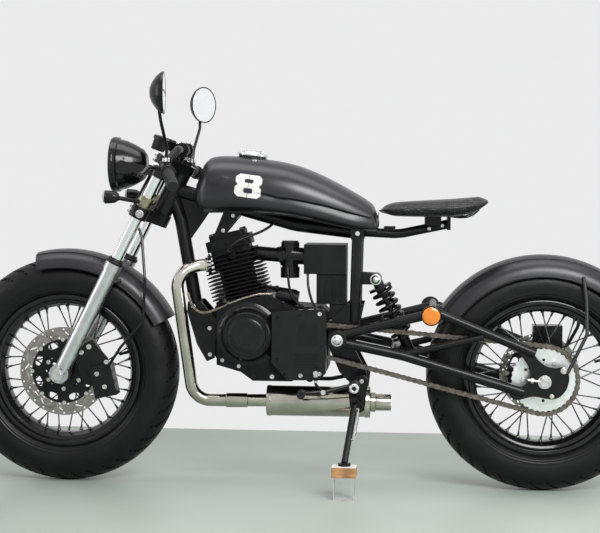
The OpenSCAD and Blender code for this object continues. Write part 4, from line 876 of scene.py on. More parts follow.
def lens_of(name, colour, rough):
    return finish_of(name, [c * 0.8 for c in colour], colour, rough, rough + 0.08, 50, 300, 0.1, coat=0.6)


red_lens = lens_of("red_lens", (0.30, 0.012, 0.010), 0.14)
amber_lens = lens_of("amber_lens", (0.83, 0.235, 0.012), 0.16)
from_solid("tail_lamp", red_lens, 0.003)
shapes, shells = [], []
for side in (-1, 1):
    reflector_at = toward((0.308, side * 0.143, 0.499), (0, side, 0))
    face = turned([(0, 0.0140), (0.008, 0.0144), (0.0155, 0.0140), (0.0220, 0.0128), (0.0240, 0.0112),
                   (0.0243, 0.0060)], 48)
    shapes.append(moved(face, reflector_at))
    cup = turned([(0, -0.0140), (0.0080, -0.0140), (0.0085, -0.002), (0.0150, 0.000), (0.0262, 0.0015),
                  (0.0270, 0.0030), (0.0270, 0.0105), (0.0262, 0.0118), (0.0246, 0.0118),
                  (0.0244, 0.0060)], 48)
    shells.append(moved(cup, reflector_at))
upright(joined(shapes), "side_reflectors_shown", "chassis", amber_lens,
        ["side_reflectors"], sharp=45)
upright(joined(shells), "reflector_cups", "chassis", trim_paint, sharp=45)

# Fork
# Chrome tubes slide in bare alloy legs, and two black yokes clamp them to the stem. Rubber seals
# close the legs, and a raw steel band clamp sits on each tube above the lower yoke.
rake = math.radians(26.6)
leg_y, lower_yoke, upper_yoke = 0.098, 0.504, 0.663


def on_fork(x, y, s):
    return Vector((wheelbase + x * math.cos(rake) - s * math.sin(rake), y,
                   axle_z + x * math.sin(rake) + s * math.cos(rake)))


up_fork = Vector((-math.sin(rake), 0, math.cos(rake)))
front_fork = Vector((math.cos(rake), 0, math.sin(rake)))
chrome = finish_of("chrome", (0.70, 0.71, 0.72), (0.78, 0.79, 0.80), 0.06, 0.12, 12, 300, 0.0, metal=1.0)
alloy = finish_of("slider_alloy", (0.46, 0.47, 0.48), (0.62, 0.63, 0.64), 0.24, 0.38, 16, 600, 0.08,
                  metal=1.0)
from_solid("fork_clamps", trim_paint, 0.004)
from_solid("fork_tubes", chrome, 0.0006)
from_solid("fork_sliders", alloy, 0.0025)
seals, bands = [], []
for side in (-1, 1):
    leg_at = toward(on_fork(0, side * leg_y, 0), up_fork)
    seal = turned([(0.0168, 0.346), (0.0252, 0.346), (0.0258, 0.350), (0.0246, 0.3535), (0.0225, 0.3545),
                   (0.0222, 0.358), (0.0190, 0.361), (0.0168, 0.3615)], 48, loop=True)
    seals.append(moved(seal, leg_at))
    band = turned([(0.0166, 0.5222), (0.0206, 0.5222), (0.0212, 0.5240), (0.0212, 0.5500),
                   (0.0206, 0.5520), (0.0166, 0.5520)], 48, loop=True)
    bands.append(moved(band, leg_at))
upright(joined(seals), "fork_seals", "steering", lead_rubber, sharp=50)
raw_band = finish_of("raw_band", (0.20, 0.19, 0.12), (0.36, 0.34, 0.24), 0.22, 0.36, 60, 400, 0.08,
                     metal=1.0)
upright(joined(bands), "fork_bands", "steering", raw_band, sharp=50)
bm = bmesh.new()
for side in (-1, 1):
    for s in (lower_yoke, upper_yoke):
        for q in (-0.007, 0.007):
            add_bolt(bm, on_fork(0.0258, side * leg_y, s) + up_fork * q, front_fork, 0.0050, 0.007, True)
    add_bolt(bm, on_fork(-0.006, side * 0.1235, lower_yoke), (0, side, 0), 0.0090, 0.010, True)
    add_bar(bm, on_fork(0, side * leg_y, 0.6905), on_fork(0, side * leg_y, 0.694), 0.0090, 24)
    add_bolt(bm, on_fork(0.0, side * 0.1305, 0.0), (0, side, 0), 0.0125, 0.012)
    for s in (-0.014, 0.014):
        add_bolt(bm, on_fork(0.0225, side * leg_y, s), front_fork, 0.0048, 0.007, True)
add_bolt(bm, on_fork(-0.042, 0, 0.685), up_fork, 0.0120, 0.010)
upright(bm, "fork_bolts", "steering", bright)

# Headlamp
# A black enamelled bowl and rim on two ears, with a polished reflector behind a clear domed glass.
enamel = finish_of("black_enamel", (0.0035, 0.0035, 0.004), (0.006, 0.006, 0.0065), 0.17, 0.24, 10, 900,
                   0.02, shine=0.4)
from_solid("headlamp", enamel, 0.0012)
lamp_z = 0.903
lamp_at = toward((1.2046, 0, lamp_z), (1, 0, 0))
rim = turned([(0.0690, 0.0005), (0.0705, 0.0035), (0.0735, 0.0050), (0.0765, 0.0040), (0.0782, 0.0010),
              (0.0784, -0.0040), (0.0778, -0.0080), (0.0772, -0.0085)], 96)
upright(moved(rim, lamp_at), "headlamp_rim", "steering", enamel, sharp=60)
bowl = turned([(0.0688, -0.0050), (0.0600, -0.0068), (0.0200, -0.0076), (0.0110, -0.0070),
               (0.0095, -0.0010), (0.0, 0.0010)], 72)
upright(moved(bowl, lamp_at), "headlamp_reflector", "steering", chrome, sharp=60)
glass = bpy.data.materials.new("lamp_glass")
glass.use_nodes = True
set_inputs(glass.node_tree.nodes["Principled BSDF"],
           {"Base Color": (0.93, 0.95, 0.96, 1), "Roughness": 0.03, "Transmission Weight": 0.92,
            "IOR": 1.46})
dome = turned([(0.0688, 0.0000), (0.0640, 0.0036), (0.0550, 0.0072), (0.0440, 0.0099), (0.0330, 0.0115),
               (0.0180, 0.0126), (0, 0.0129), (0, 0.0105), (0.0180, 0.0102), (0.0330, 0.0092),
               (0.0440, 0.0076), (0.0550, 0.0050), (0.0640, 0.0015), (0.0680, -0.0022),
               (0.0688, -0.0022)], 96, loop=True)
upright(moved(dome, lamp_at), "headlamp_lens_shown", "steering", glass, ["headlamp_lens"],
        sharp=60)
bm = bmesh.new()
for side in (-1, 1):
    add_bolt(bm, (1.1686, side * 0.0802, lamp_z), (0, side, 0), 0.0062, 0.007)
upright(bm, "headlamp_bolts", "steering", black_oxide)

# Handlebar and levers
# One bent steel tube in two black clamps carries levers, switch housings and a clear fluid pot on the
# right. Ribbed rubber grips slide over its ends.
from_solid("handlebar", trim_paint, 0.0012)
bar_end, bar_out = Vector((0.977, 0.352, 0.848)), Vector((1.030, 0.180, 0.903))
along_grip = (bar_end - bar_out).normalized()
perch, switch_at = bar_end - along_grip * 0.144, bar_end - along_grip * 0.169
grip_rubber = finish_of("grip_rubber", (0.005, 0.005, 0.005), (0.010, 0.010, 0.010), 0.40, 0.52, 40, 900,
                        0.2, shine=0.3)


def ribbed(count, start, step, crest, groove, flat, fall, end):
    rows = []
    for k in range(count):
        h = start + step * k
        rows += [(crest, h), (crest, h + flat), (groove, h + fall), (groove, h + end)]
    return rows


grips = []
for side in (-1, 1):
    flip = Matrix.Diagonal((1, side, 1, 1))
    outline = [(0.0113, -0.118), (0.0190, -0.118), (0.0205, -0.1165), (0.0205, -0.1135),
               (0.0190, -0.1120), (0.0155, -0.1115)]
    outline += ribbed(26, -0.108, 0.0039, 0.0155, 0.0144, 0.0020, 0.0024, 0.0034)
    outline += [(0.0155, -0.0055), (0.0157, -0.001), (0.0148, 0.0012), (0.0146, 0.0065), (0.0130, 0.0080),
                (0, 0.0080)]
    shape = moved(turned(outline, 40), toward(bar_end, along_grip))
    bmesh.ops.recalc_face_normals(shape, faces=shape.faces)
    grips.append(moved(shape, flip))
upright(joined(grips), "grips_shown", "steering", grip_rubber, ["grips"], sharp=30)
bm = bmesh.new()
for side in (-1, 1):
    for x in (-0.013, 0.013):
        add_bolt(bm, (1.004 + x, side * 0.038, 0.9625), (0, 0, 1), 0.0045, 0.006, True)
    at = perch + Vector((0.028, -0.006, 0.012))
    add_bolt(bm, (at.x, side * at.y, at.z), (0, 0, 1), 0.0050, 0.006)
upright(bm, "bar_bolts", "steering", bright)
bm = bmesh.new()
for side in (-1, 1):
    for y in (0.0245, 0.0515):
        add_bar(bm, (1.004, side * (y - 0.0012), 0.944), (1.004, side * (y + 0.0012), 0.944), 0.0203, 40)
upright(bm, "bar_clamps", "steering", trim_paint, edge=0.0004)
switches = []
for side in (-1, 1):
    for off, r in [(0.0, 0.0170), (0.011, 0.0165)]:
        a, b = switch_at + along_grip * (off - 0.0045), switch_at + along_grip * (off + 0.0045)
        shape = bmesh.new()
        add_bar(shape, (a.x, side * a.y, a.z), (b.x, side * b.y, b.z), r, 32)
        switches.append(shape)
upright(joined(switches), "switch_housings", "steering", box_plastic, edge=0.001)
pot_clear = finish_of("fluid_pot", (0.42, 0.42, 0.38), (0.50, 0.50, 0.46), 0.22, 0.34, 30, 300, 0.04)
pot = turned([(0, 0.0002), (0.0095, 0.0002), (0.0108, 0.0030), (0.0108, 0.0420), (0.0100, 0.0440),
              (0, 0.0440)], 32)
lid = turned([(0.0100, 0.0435), (0.0124, 0.0435), (0.0126, 0.0440), (0.0126, 0.0540), (0.0112, 0.0560),
              (0, 0.0560)], 32)
pot_low = Vector((perch.x + 0.008, -(perch.y - 0.028), perch.z + 0.009))
pot_way = Vector((-0.004, 0, 0.049)).normalized()
upright(moved(pot, toward(pot_low, pot_way)), "fluid_pot", "steering", pot_clear, sharp=50)
upright(moved(lid, toward(pot_low, pot_way)), "fluid_pot_lid", "steering", box_plastic,
        sharp=50)

# Mirrors
# Two round mirrors on thin bent stems: black pressed shells with flat silvered glass toward the rider.
from_solid("mirrors", trim_paint, 0.0006, 40)
silvered = finish_of("mirror_glass", (0.84, 0.86, 0.88), (0.86, 0.88, 0.90), 0.02, 0.04, 6, 200, 0.0,
                     metal=0.55)
from_solid("mirror_glass", silvered, 0.0004)
bm = bmesh.new()
for side in (-1, 1):
    nut_low = Vector((perch.x, side * perch.y, perch.z + 0.0205))
    add_bar(bm, nut_low, nut_low + Vector((0, 0, 0.0105)), 0.0102, 6)
upright(bm, "mirror_nuts", "steering", bright, edge=0.0006)

# Gauge and front indicators
# A small round gauge in a black cup on the top yoke, and bullet shaped indicators with pale lenses.
from_solid("speedometer", box_plastic, 0.0015)
dial_at = Matrix.Translation((1.057, 0, 0.974)) @ Matrix.Rotation(math.radians(-19), 4, "Y")
ring = turned([(0.0300, 0.0021), (0.0318, 0.0045), (0.0345, 0.0045), (0.0364, 0.0026), (0.0366, -0.0015),
               (0.0361, -0.0050)], 72)
upright(moved(ring, dial_at), "gauge_ring", "steering", trim_paint, sharp=60)
face_white = finish_of("gauge_face", (0.62, 0.62, 0.60), (0.68, 0.68, 0.66), 0.18, 0.26, 20, 300, 0.0,
                       coat=0.8)
face = turned([(0, 0.0026), (0.0298, 0.0026), (0.0300, 0.0021)], 64)
upright(moved(face, dial_at), "gauge_face", "steering", face_white, sharp=60)
bm = bmesh.new()
for k in range(25):
    a = math.radians(-120 + 10 * k)
    inner = 0.0225 if k % 3 else 0.0195
    add_bar(bm, polar(inner, a, 0.0028), polar(0.0272, a, 0.0028), 0.00035, 6)
add_bar(bm, (0, 0, 0.0026), (0, 0, 0.0042), 0.0030, 20)
add_bar(bm, (0, 0, 0.0036), (-0.017, 0.014, 0.0036), 0.0007, 6, 0.0003)
upright(moved(bm, dial_at), "gauge_marks", "steering", box_plastic)
from_solid("front_indicators", trim_paint, 0.0006, 40)
ends, rings = [], []
for side in (-1, 1):
    at = toward(on_fork(0, side * leg_y, 0.537) + Vector((0.066, side * 0.052, 0.014)), (1, 0, 0))
    ends.append(moved(turned([(0.0180, 0.0326), (0.0176, 0.0350), (0.0142, 0.0385), (0.0080, 0.0402),
                              (0, 0.0408)], 40), at))
    rings.append(moved(turned([(0.0181, 0.0290), (0.0187, 0.0300), (0.0187, 0.0322), (0.0181, 0.0332)],
                              40), at))
smoke_lens = lens_of("smoke_lens", (0.62, 0.60, 0.55), 0.10)
upright(joined(ends), "indicator_lenses", "steering", smoke_lens, sharp=60)
upright(joined(rings), "indicator_rings", "steering", trim_paint, sharp=60)

# Tank
# A pressed steel tank, its sides hollowed below a sharp knee line, sprayed matt black with a faint sheen.
# A folded weld lip runs round its underside, a chrome filler cap sits on top.
tank_paint = finish_of("tank_paint", (0.010, 0.0098, 0.0122), (0.014, 0.0137, 0.0168), 0.29, 0.35, 5,
                       1600, 0.02)
tank_rings = [(0.963, 0.062, 0.840, 0.796), (0.956, 0.086, 0.872, 0.778), (0.940, 0.102, 0.908, 0.769),
              (0.915, 0.112, 0.926, 0.769), (0.855, 0.124, 0.928, 0.770), (0.767, 0.130, 0.919, 0.767),
              (0.700, 0.130, 0.907, 0.761), (0.640, 0.125, 0.887, 0.750), (0.580, 0.115, 0.859, 0.738),
              (0.530, 0.103, 0.832, 0.728), (0.490, 0.091, 0.808, 0.722), (0.470, 0.084, 0.791, 0.720),
              (0.459, 0.076, 0.762, 0.723)]
knee = [(0.980, 0.824), (0.860, 0.834), (0.757, 0.827), (0.731, 0.818), (0.677, 0.812), (0.601, 0.797),
        (0.525, 0.775), (0.474, 0.762), (0.455, 0.752)]


def between(points, x):
    for a, b in zip(points, points[1:]):
        if min(a[0], b[0]) <= x <= max(a[0], b[0]):
            t = (x - a[0]) / (b[0] - a[0])
            return a[1] + (b[1] - a[1]) * t
    return points[0][1] if abs(points[0][0] - x) < abs(points[-1][0] - x) else points[-1][1]


def eased(rows, steps):
    line = []
    for i in range(len(rows) - 1):
        p0, p1, p2, p3 = rows[max(i - 1, 0)], rows[i], rows[i + 1], rows[min(i + 2, len(rows) - 1)]
        for k in range(steps):
            t = k / steps
            row = []
            for a, b, c, d in zip(p0, p1, p2, p3):
                bend, twist = 2 * a - 5 * b + 4 * c - d, 3 * b - a - 3 * c + d
                row.append(0.5 * (2 * b + (c - a) * t + bend * t * t + twist * t ** 3))
            line.append(row)
    return line + [list(rows[-1])]


top_power, low_power = 0.9, 0.45


def tank_section(x, w, top, low):
    mid = low + 0.42 * (top - low)
    crease = min(max(between(knee, x), low + 0.25 * (top - low)), top - 0.20 * (top - low))

    def slope_at(z):
        part = (z - mid) / (top - mid) if z >= mid else (mid - z) / (mid - low)
        return math.copysign(math.asin(min(part, 1) ** (1 / top_power if z >= mid else 1 / low_power)),
                             z - mid)

    brow, hem_z = 0.35 * (top - crease), low + 0.10 * (mid - low)
    shoulder, hem = slope_at(crease + brow), slope_at(hem_z)
    angles = [math.pi / 2 + (shoulder - math.pi / 2) * k / 12 for k in range(13)]
    angles += [slope_at(crease + brow * (1 - k / 6)) for k in range(1, 7)]
    side_z = [crease + (hem_z - crease) * (k / 15) ** 1.5 for k in range(1, 16)]
    angles += [slope_at(z) for z in side_z] + [hem - (math.pi / 2 + hem) * k / 10 for k in range(1, 11)]
    depth = 0.0135 * min(1, max(0, (0.790 - x) / 0.045)) ** 0.6 * min(1, max(0, (x - 0.462) / 0.07))
    points = []
    for a in angles:
        c, s = max(math.cos(a), 0.0), math.sin(a)
        y = w * c ** 0.72
        z = mid + (top - mid) * s ** top_power if s >= 0 else mid - (mid - low) * (-s) ** low_power
        if z < crease:
            share = min(1, max(0, (z - low - 0.010) / max(crease - low - 0.010, 0.01)))
            near = min(1, (crease - z) / 0.0055)
            y -= depth * near * share ** 0.7 * min(1, y / 0.04)
        if s < 0 and y < 0.026:
            z = max(z, 0.762 + max(0, (x - 0.690) * 0.2827))
        points.append((x, y, z))
    return points


def skinned(bm, grid):
    for a, b in zip(grid, grid[1:]):
        for k in range(len(a)):
            n = (k + 1) % len(a)
            bm.faces.new((a[k], a[n], b[n], b[k]))
    for ring in (grid[0], grid[-1]):
        bm.faces.new(ring)


stations = eased(tank_rings, 6)
tank = bmesh.new()
grid = []
for x, w, top, low in stations:
    row = tank_section(x, w, top, low)
    ring = [tank.verts.new(p) for p in row] + [tank.verts.new((p[0], -p[1], p[2])) for p in row[-2:0:-1]]
    grid.append(ring)
skinned(tank, grid)
bmesh.ops.recalc_face_normals(tank, faces=tank.faces)
lids = [f for f in tank.faces if len(f.verts) > 8]
bmesh.ops.inset_individual(tank, faces=lids, thickness=0.012, depth=0.003)
tank_form = BVHTree.FromBMesh(tank)
lips, weld_row = [], 35
for side in (-1, 1):
    edge = []
    for x, w, top, low in stations[::2]:
        corner = tank_section(x, w, top, low)[weld_row]
        edge.append(Vector((corner[0], side * (corner[1] + 0.0012), corner[2] - 0.0002)))
    lips.append(swept(edge, 0.0026, 3))
neck = turned([(0, 0.0300), (0.0380, 0.0300), (0.0392, 0.0285), (0.0395, 0.0)], 64)
filler_at = Matrix.Translation((0.814, 0, 0.900)) @ Matrix.Rotation(math.radians(-6), 4, "Y")
upright(joined([tank, moved(neck, filler_at)] + lips), "tank_shown", "chassis", tank_paint,
        ["tank"], sharp=38)

cap_at = filler_at @ Matrix.Translation((0, 0, 0.030))
cap = turned([(0, 0.0115), (0.0200, 0.0117), (0.0290, 0.0113), (0.0308, 0.0100), (0.0312, 0.0075),
              (0.0330, 0.0068), (0.0420, 0.0066), (0.0436, 0.0055), (0.0440, 0.0035), (0.0440, 0.0003)],
             80)
lever = bmesh.new()
for x, long, high in [(-0.004, 0.046, 0.0030), (-0.024, 0.010, 0.0040)]:
    add_block(lever, (x, 0, 0.0115 + high / 2), (long, 0.015, high))
add_bar(lever, (0.022, -0.010, 0.0125), (0.022, 0.010, 0.0125), 0.0026, 16)
for k in range(6):
    a = 2 * math.pi * (k + 0.5) / 6
    add_bolt(lever, polar(0.0376, a, 0.0064), (0, 0, 1), 0.0024, 0.0035, True)
upright(moved(joined([cap, lever]), cap_at), "tank_cap_shown", "chassis", chrome, ["tank_cap"],
        edge=0.0008, sharp=50)

# Racing number
# A plain white block figure is stencilled on each side of the tank, a little worn, with the
# stencil's thin bridge down its middle.
chalk = finish_of("number_white", (0.66, 0.66, 0.65), (0.82, 0.82, 0.81), 0.42, 0.55, 38, 700, 0.12)
rim_of_8 = [(-0.38, 0.5), (0.36, 0.5), (0.5, 0.37), (0.5, 0.15), (0.40, 0.03), (0.5, -0.08), (0.5, -0.37),
            (0.36, -0.5), (-0.38, -0.5), (-0.5, -0.37), (-0.5, -0.08), (-0.40, 0.03), (-0.5, 0.15),
            (-0.5, 0.37)]
top_eye = [(-0.14, 0.31), (0.12, 0.31), (0.16, 0.27), (0.16, 0.18), (0.12, 0.14), (-0.14, 0.14),
           (-0.18, 0.18), (-0.18, 0.27)]
low_eye = [(-0.14, -0.09), (0.12, -0.09), (0.16, -0.13), (0.16, -0.27), (0.12, -0.31), (-0.14, -0.31),
           (-0.18, -0.27), (-0.18, -0.13)]
number_x, number_z, number_turn = 0.8085, 0.8455, math.radians(-7.5)


def on_tank(u, h, side, lift):
    turn = number_turn * side
    x = number_x + u * math.cos(turn) + h * math.sin(turn)
    z = number_z + h * math.cos(turn) - u * math.sin(turn)
    spot, normal = tank_form.ray_cast(Vector((x, side * 0.4, z)), Vector((0, -side, 0)))[:2]
    return spot + normal * lift


figures = []
for side in (-1, 1):
    bm = bmesh.new()
    loops = []
    for ring in (rim_of_8, top_eye, low_eye):
        fine = []
        for (ax, az), (bx, bz) in zip(ring, ring[1:] + ring[:1]):
            count = max(1, round(math.hypot(bx - ax, bz - az) / 0.12))
            fine += [(ax + (bx - ax) * k / count, az + (bz - az) * k / count) for k in range(count)]
        verts = [bm.verts.new((u, 0, v)) for u, v in fine]
        loops += looped(bm, verts)
    bmesh.ops.triangle_fill(bm, use_beauty=True, edges=loops)
    bmesh.ops.subdivide_edges(bm, edges=bm.edges, cuts=3, use_grid_fill=True)
    for v in bm.verts:
        v.co = on_tank(v.co.x * 0.073, v.co.z * 0.062, side, 0.0006)
    bmesh.ops.reverse_faces(bm, faces=[f for f in bm.faces if f.normal.y * side < 0])
    figures.append(bm)
bm = joined(figures)
bm.transform(stance)
settle(bm, "tank_number", "chassis", chalk, sharp=60)
bm = bmesh.new()
for side in (-1, 1):
    rails = []
    for u in (-0.0006, 0.0006):
        rails.append([bm.verts.new(on_tank(u, 0.0305 * (k / 12 - 1), side, 0.0009)) for k in range(25)])
    for k in range(24):
        bm.faces.new((rails[0][k], rails[1][k], rails[1][k + 1], rails[0][k + 1]))
bmesh.ops.reverse_faces(bm, faces=[f for f in bm.faces if f.normal.y * f.calc_center_median().y < 0])
bm.transform(stance)
settle(bm, "number_bridges", "chassis", tank_paint, sharp=60)

# Saddle arm
# A bent steel tube and a welded pillar carry the saddle, painted like the frame. A ribbed rubber stop
# sits under the saddle's nose.
arm = moved(copy_of("seat_arm"), stance.inverted())
stop_x, stop_top = 0.425, 0.731
for v in arm.verts:
    if abs(v.co.x - stop_x) < 0.018 and v.co.z > stop_top + 0.015:
        v.co.z = stop_top
settle(moved(arm, stance), "seat_arm_shown", "chassis", frame_paint, ["seat_arm"], 0.0012)
bm = bmesh.new()
for k in range(5):
    x = stop_x + 0.0062 * (k - 2)
    add_bar(bm, (x, -0.013, stop_top), (x, 0.013, stop_top), 0.0042, 16)
upright(bm, "saddle_stop", "chassis", lead_rubber, edge=0.0006, sharp=50)

# Saddle
# A thin foam pad in studded black leather on the saddle arm, its tail kicked up over a thin wire loop.
# Each stud carries a painted pale glint.
# The pad swells under cloth pressure, and the hem of its cover is sewn round under the edge.
leather = finish_of("saddle_leather", (0.004, 0.004, 0.004), (0.007, 0.007, 0.007), 0.36, 0.50, 60, 420,
                    0.75, shine=0.35)
tree = leather.node_tree
# Voronoi studs raise the leather's bump, and the same mask paints a pale glint on each stud.
cells = added(tree, "TexVoronoi", {"Scale": 170, "Randomness": 0.35})
place = added(tree, "TexCoord")
stud_bump_and_glint = added(tree, "MapRange", {"From Min": 0.14, "From Max": 0.30, "To Min": 1, "To Max": 0})
painted_stud_glint = added(tree, "Mix", {"B": (0.16, 0.16, 0.165, 1)}, "RGBA")
linked(tree, [(place.outputs["Object"], cells.inputs["Vector"]),
             (cells.outputs["Distance"], stud_bump_and_glint.inputs["Value"]),
             (stud_bump_and_glint.outputs["Result"], tree.nodes["relief"].inputs["Height"]),
             (stud_bump_and_glint.outputs["Result"], painted_stud_glint.inputs["Factor"]),
             (tree.nodes["patch"].outputs["Colour"], painted_stud_glint.inputs["A"]),
             (painted_stud_glint.outputs["Result"], tree.nodes["Principled BSDF"].inputs["Base Color"])])
set_inputs(tree.nodes["relief"], {"Distance": 0.0010})
seat_rings = [(0.4562, 0.018, 0.7840, 0.7795), (0.4530, 0.040, 0.7855, 0.7775),
              (0.4450, 0.064, 0.7885, 0.7735), (0.4280, 0.088, 0.7950, 0.7690),
              (0.4040, 0.102, 0.8005, 0.7650), (0.3200, 0.118, 0.8060, 0.7640),
              (0.2480, 0.124, 0.8105, 0.7655), (0.1960, 0.112, 0.8150, 0.7755),
              (0.1690, 0.088, 0.8178, 0.7910), (0.1560, 0.064, 0.8180, 0.8015),
              (0.1490, 0.034, 0.8162, 0.8080)]
pad, pad_sides = bmesh.new(), 40
grid = []
for x, w, top, low in eased(seat_rings, 4):
    tuck = min(0.0035, 0.25 * (top - low))
    w, top, low = w - 0.003, top - tuck, low + tuck
    mid = (top + low) / 2
    ring = []
    for k in range(pad_sides):
        a = 2 * math.pi * k / pad_sides
        ring.append(pad.verts.new((x, w * bulged(math.cos(a), 0.62),
                                   mid + (top - low) / 2 * bulged(math.sin(a), 0.8))))
    grid.append(ring)
skinned(pad, grid)
saddle = upright(pad, "saddle_pad", "chassis", leather, ["seat"], sharp=180)
rough_form = saddle.modifiers.new("even_mesh", "REMESH")
rough_form.mode = "VOXEL"
rough_form.voxel_size = 0.0045
bpy.context.view_layer.update()


def applied(piece):
    made = bpy.data.meshes.new_from_object(piece.evaluated_get(bpy.context.evaluated_depsgraph_get()))
    old = piece.data
    piece.modifiers.clear()
    piece.data = made
    bpy.data.meshes.remove(old)
    for face in made.polygons:
        face.use_smooth = True


applied(saddle)
before = [v.co.copy() for v in saddle.data.vertices]
swell = saddle.modifiers.new("swell", "CLOTH")
swell.settings.use_pressure = True
swell.settings.uniform_pressure_force = 4
swell.settings.effector_weights.gravity = 0
swell.settings.quality = 5
for tick in range(1, 21):
    scene.frame_set(tick)
applied(saddle)
scene.frame_set(1)
most = 0.005
for v, was in zip(saddle.data.vertices, before):
    shift = v.co - was
    if shift.length > most:
        v.co = was + shift * (most / shift.length)
finer = saddle.modifiers.new("finer", "SUBSURF")
finer.levels = finer.render_levels = 1
hem = []
rows = eased(seat_rings, 4)[4:-4]
for side, order in [(1, rows), (-1, rows[::-1])]:
    for x, w, top, low in order:
        hem.append(Vector((x, side * (w * 0.80), low + (top - low) * 0.12)))
upright(swept(hem + hem[:1], 0.0016, 3, capped=False), "saddle_hem", "chassis", leather,
        sharp=60)
half = [(0.262, 0.054, 0.7655), (0.248, 0.058, 0.7630), (0.230, 0.059, 0.7615), (0.212, 0.058, 0.7630),
        (0.196, 0.053, 0.7690), (0.184, 0.042, 0.7780), (0.178, 0.024, 0.7830)]
wire = [Vector(p) for p in half] + [Vector((x, -y, z)) for x, y, z in half[::-1]]
upright(swept(wire, 0.0021, 4), "saddle_wire", "chassis", trim_paint, sharp=60)

# Foot controls
# Rubber sleeved steel pegs with bright ends on both sides, and a bent pedal with a rubber shoe in front
# of each. The gear link is on the left.
from_solid("foot_controls", trim_paint, 0.001)
sleeves, ends = [], []
peg_x, peg_z = 0.513, 0.304
for side in (-1, 1):
    peg_at = toward((peg_x, 0, peg_z), (0, side, 0))
    outline = [(0.0117, 0.122), (0.0140, 0.122), (0.0144, 0.124)]
    outline += ribbed(9, 0.126, 0.0066, 0.0144, 0.0130, 0.0040, 0.0046, 0.0060)
    outline += [(0.0144, 0.1860), (0.0140, 0.1875), (0.0117, 0.1880)]
    sleeves.append(moved(turned(outline, 32), peg_at))
    cap = turned([(0.0062, 0.1885), (0.0062, 0.1932), (0.0068, 0.1938), (0.0112, 0.1938),
                  (0.0134, 0.1920), (0.0136, 0.1875)], 32)
    ends.append(moved(cap, peg_at))
upright(joined(sleeves), "peg_sleeves", "chassis", grip_rubber, sharp=40)
upright(joined(ends), "peg_ends", "chassis", chrome, sharp=50)
bm = bmesh.new()
for side in (-1, 1):
    add_bar(bm, (peg_x, side * 0.1870, peg_z), (peg_x, side * 0.1900, peg_z), 0.0064, 6)
upright(bm, "peg_sockets", "chassis", black_oxide)
shoes = []
for side in (-1, 1):
    outline = [(0.0081, 0.1400), (0.0108, 0.1402)]
    outline += ribbed(6, 0.142, 0.0058, 0.0112, 0.0100, 0.0034, 0.0040, 0.0052)
    outline += [(0.0112, 0.1768), (0.0106, 0.1784), (0, 0.1786)]
    shoes.append(moved(turned(outline, 28), toward((0.658, 0, 0.281), (0, side, 0))))
upright(joined(shoes), "pedal_shoes", "chassis", grip_rubber, sharp=40)
bm = bmesh.new()
add_bolt(bm, (0.621, 0.1362, 0.336), (0, 1, 0), 0.0055, 0.007)
add_bolt(bm, (0.600, 0.1322, 0.283), (0, 1, 0), 0.0055, 0.007)
for z in (0.312, 0.328):
    add_bar(bm, (0.621, 0.130, z - 0.003), (0.621, 0.130, z + 0.003), 0.0060, 6)
upright(bm, "pedal_bolts", "chassis", bright)

# Side stand
# A black steel leg swings on a slanted pin, with a round foot and a return spring along its front.
from_solid("side_stand", trim_paint, 0.0012)
tip, toe = math.radians(35), math.radians(25)
pin_way = Vector((math.sin(toe) * math.cos(tip), math.cos(toe) * math.cos(tip), math.sin(tip)))
stand_top = Vector((0.509, 0.120, 0.250)) + pin_way * 0.0106
stand_way = Vector((0.127, math.sin(tip) * 0.992, -math.cos(tip) * 0.992)).normalized()
beside = stand_way.cross(pin_way).normalized()
spring_from = stand_top + stand_way * 0.020 - beside * 0.0145
spring_to = spring_from + stand_way * 0.092
coil = moved(swept(coiled(0.0044, 17, 0.012, 0.078, 170), 0.0011, 2), toward(spring_from, stand_way))
hook = bmesh.new()
add_bar(hook, spring_from + stand_way * 0.0790, spring_to, 0.0012, 8)
add_bar(hook, spring_to, spring_to + beside * 0.010, 0.0030, 10)
add_bar(hook, spring_from, spring_from + stand_way * 0.0125, 0.0012, 8)
add_bar(hook, spring_from, spring_from + beside * 0.008, 0.0030, 10)
upright(joined([coil, hook]), "stand_spring", "stand", zinc, sharp=60)
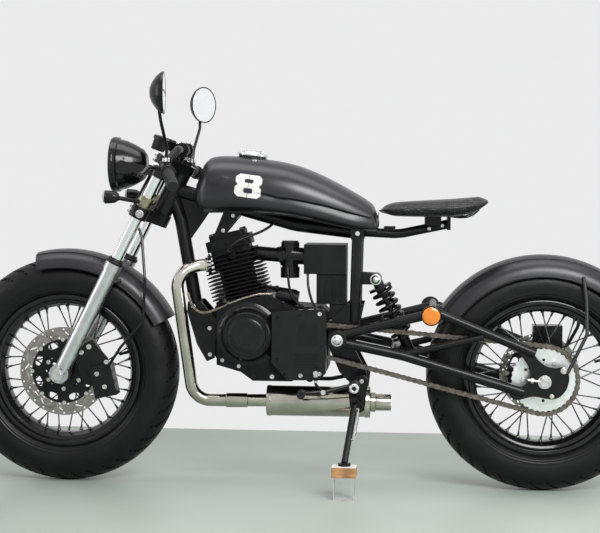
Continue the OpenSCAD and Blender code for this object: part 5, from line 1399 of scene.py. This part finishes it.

# Block
# The stand's foot rests on a short offcut of plank whose upward face is coloured paler, over a length of
# square steel tube.
plank = finish_of("plank", (0.36, 0.165, 0.055), (0.60, 0.33, 0.135), 0.55, 0.70, 14, 240, 0.35)
tree = plank.node_tree
band = added(tree, "TexWave", {"Scale": 26, "Distortion": 5, "Detail": 3})
stretch = added(tree, "Mapping", {"Scale": (0.25, 1.6, 2.4)})
place = added(tree, "TexCoord")
# Faces turned upward are blended to a pale colour by their normal.
facing = added(tree, "NewGeometry")
split = added(tree, "SeparateXYZ")
paler_top_face = added(tree, "Mix", {"B": (0.80, 0.78, 0.74, 1)}, "RGBA")
grained = added(tree, "Mix", {"Factor": 0.45}, "RGBA")
grained.blend_type = "MULTIPLY"
linked(tree, [(place.outputs["Object"], stretch.inputs["Vector"]),
             (stretch.outputs["Vector"], band.inputs["Vector"]),
             (tree.nodes["patch"].outputs["Colour"], grained.inputs["A"]),
             (band.outputs["Color"], grained.inputs["B"]),
             (facing.outputs["Normal"], split.inputs["Vector"]),
             (split.outputs["Z"], paler_top_face.inputs["Factor"]), (grained.outputs["Result"], paler_top_face.inputs["A"]),
             (paler_top_face.outputs["Result"], tree.nodes["Principled BSDF"].inputs["Base Color"])])
paler_top_face.clamp_factor = True
foot = stance @ (stand_top + stand_way * 0.181)
block_top = foot.z - 0.007
wood_low = block_top - 0.028
bm = bmesh.new()
add_block(bm, (foot.x, foot.y + 0.003, (block_top + wood_low) / 2), (0.066, 0.058, block_top - wood_low))
settle(bm, "block_wood", "chassis", plank, ["stand_block"], 0.0012)
tube_steel = finish_of("tube_steel", (0.46, 0.45, 0.43), (0.70, 0.69, 0.67), 0.30, 0.46, 40, 500, 0.1,
                       metal=0.9)
bm = bmesh.new()
wide, high = 0.056, wood_low
corners = [(-wide / 2, 0), (wide / 2, 0), (wide / 2, high), (-wide / 2, high)]
inner = [(x * 0.93, 0.002 + (z / high) * (high - 0.004)) for x, z in corners]
loops = []
for ring in (corners, inner):
    for y in (0.026, -0.020):
        loops.append([bm.verts.new((foot.x + x, foot.y + y, z)) for x, z in ring])
for k in range(4):
    n = (k + 1) % 4
    for i, j in [(0, 1), (2, 3), (0, 2), (1, 3)]:
        bm.faces.new((loops[i][k], loops[i][n], loops[j][n], loops[j][k]))
bmesh.ops.recalc_face_normals(bm, faces=bm.faces)
settle(bm, "block_tube", "chassis", tube_steel)
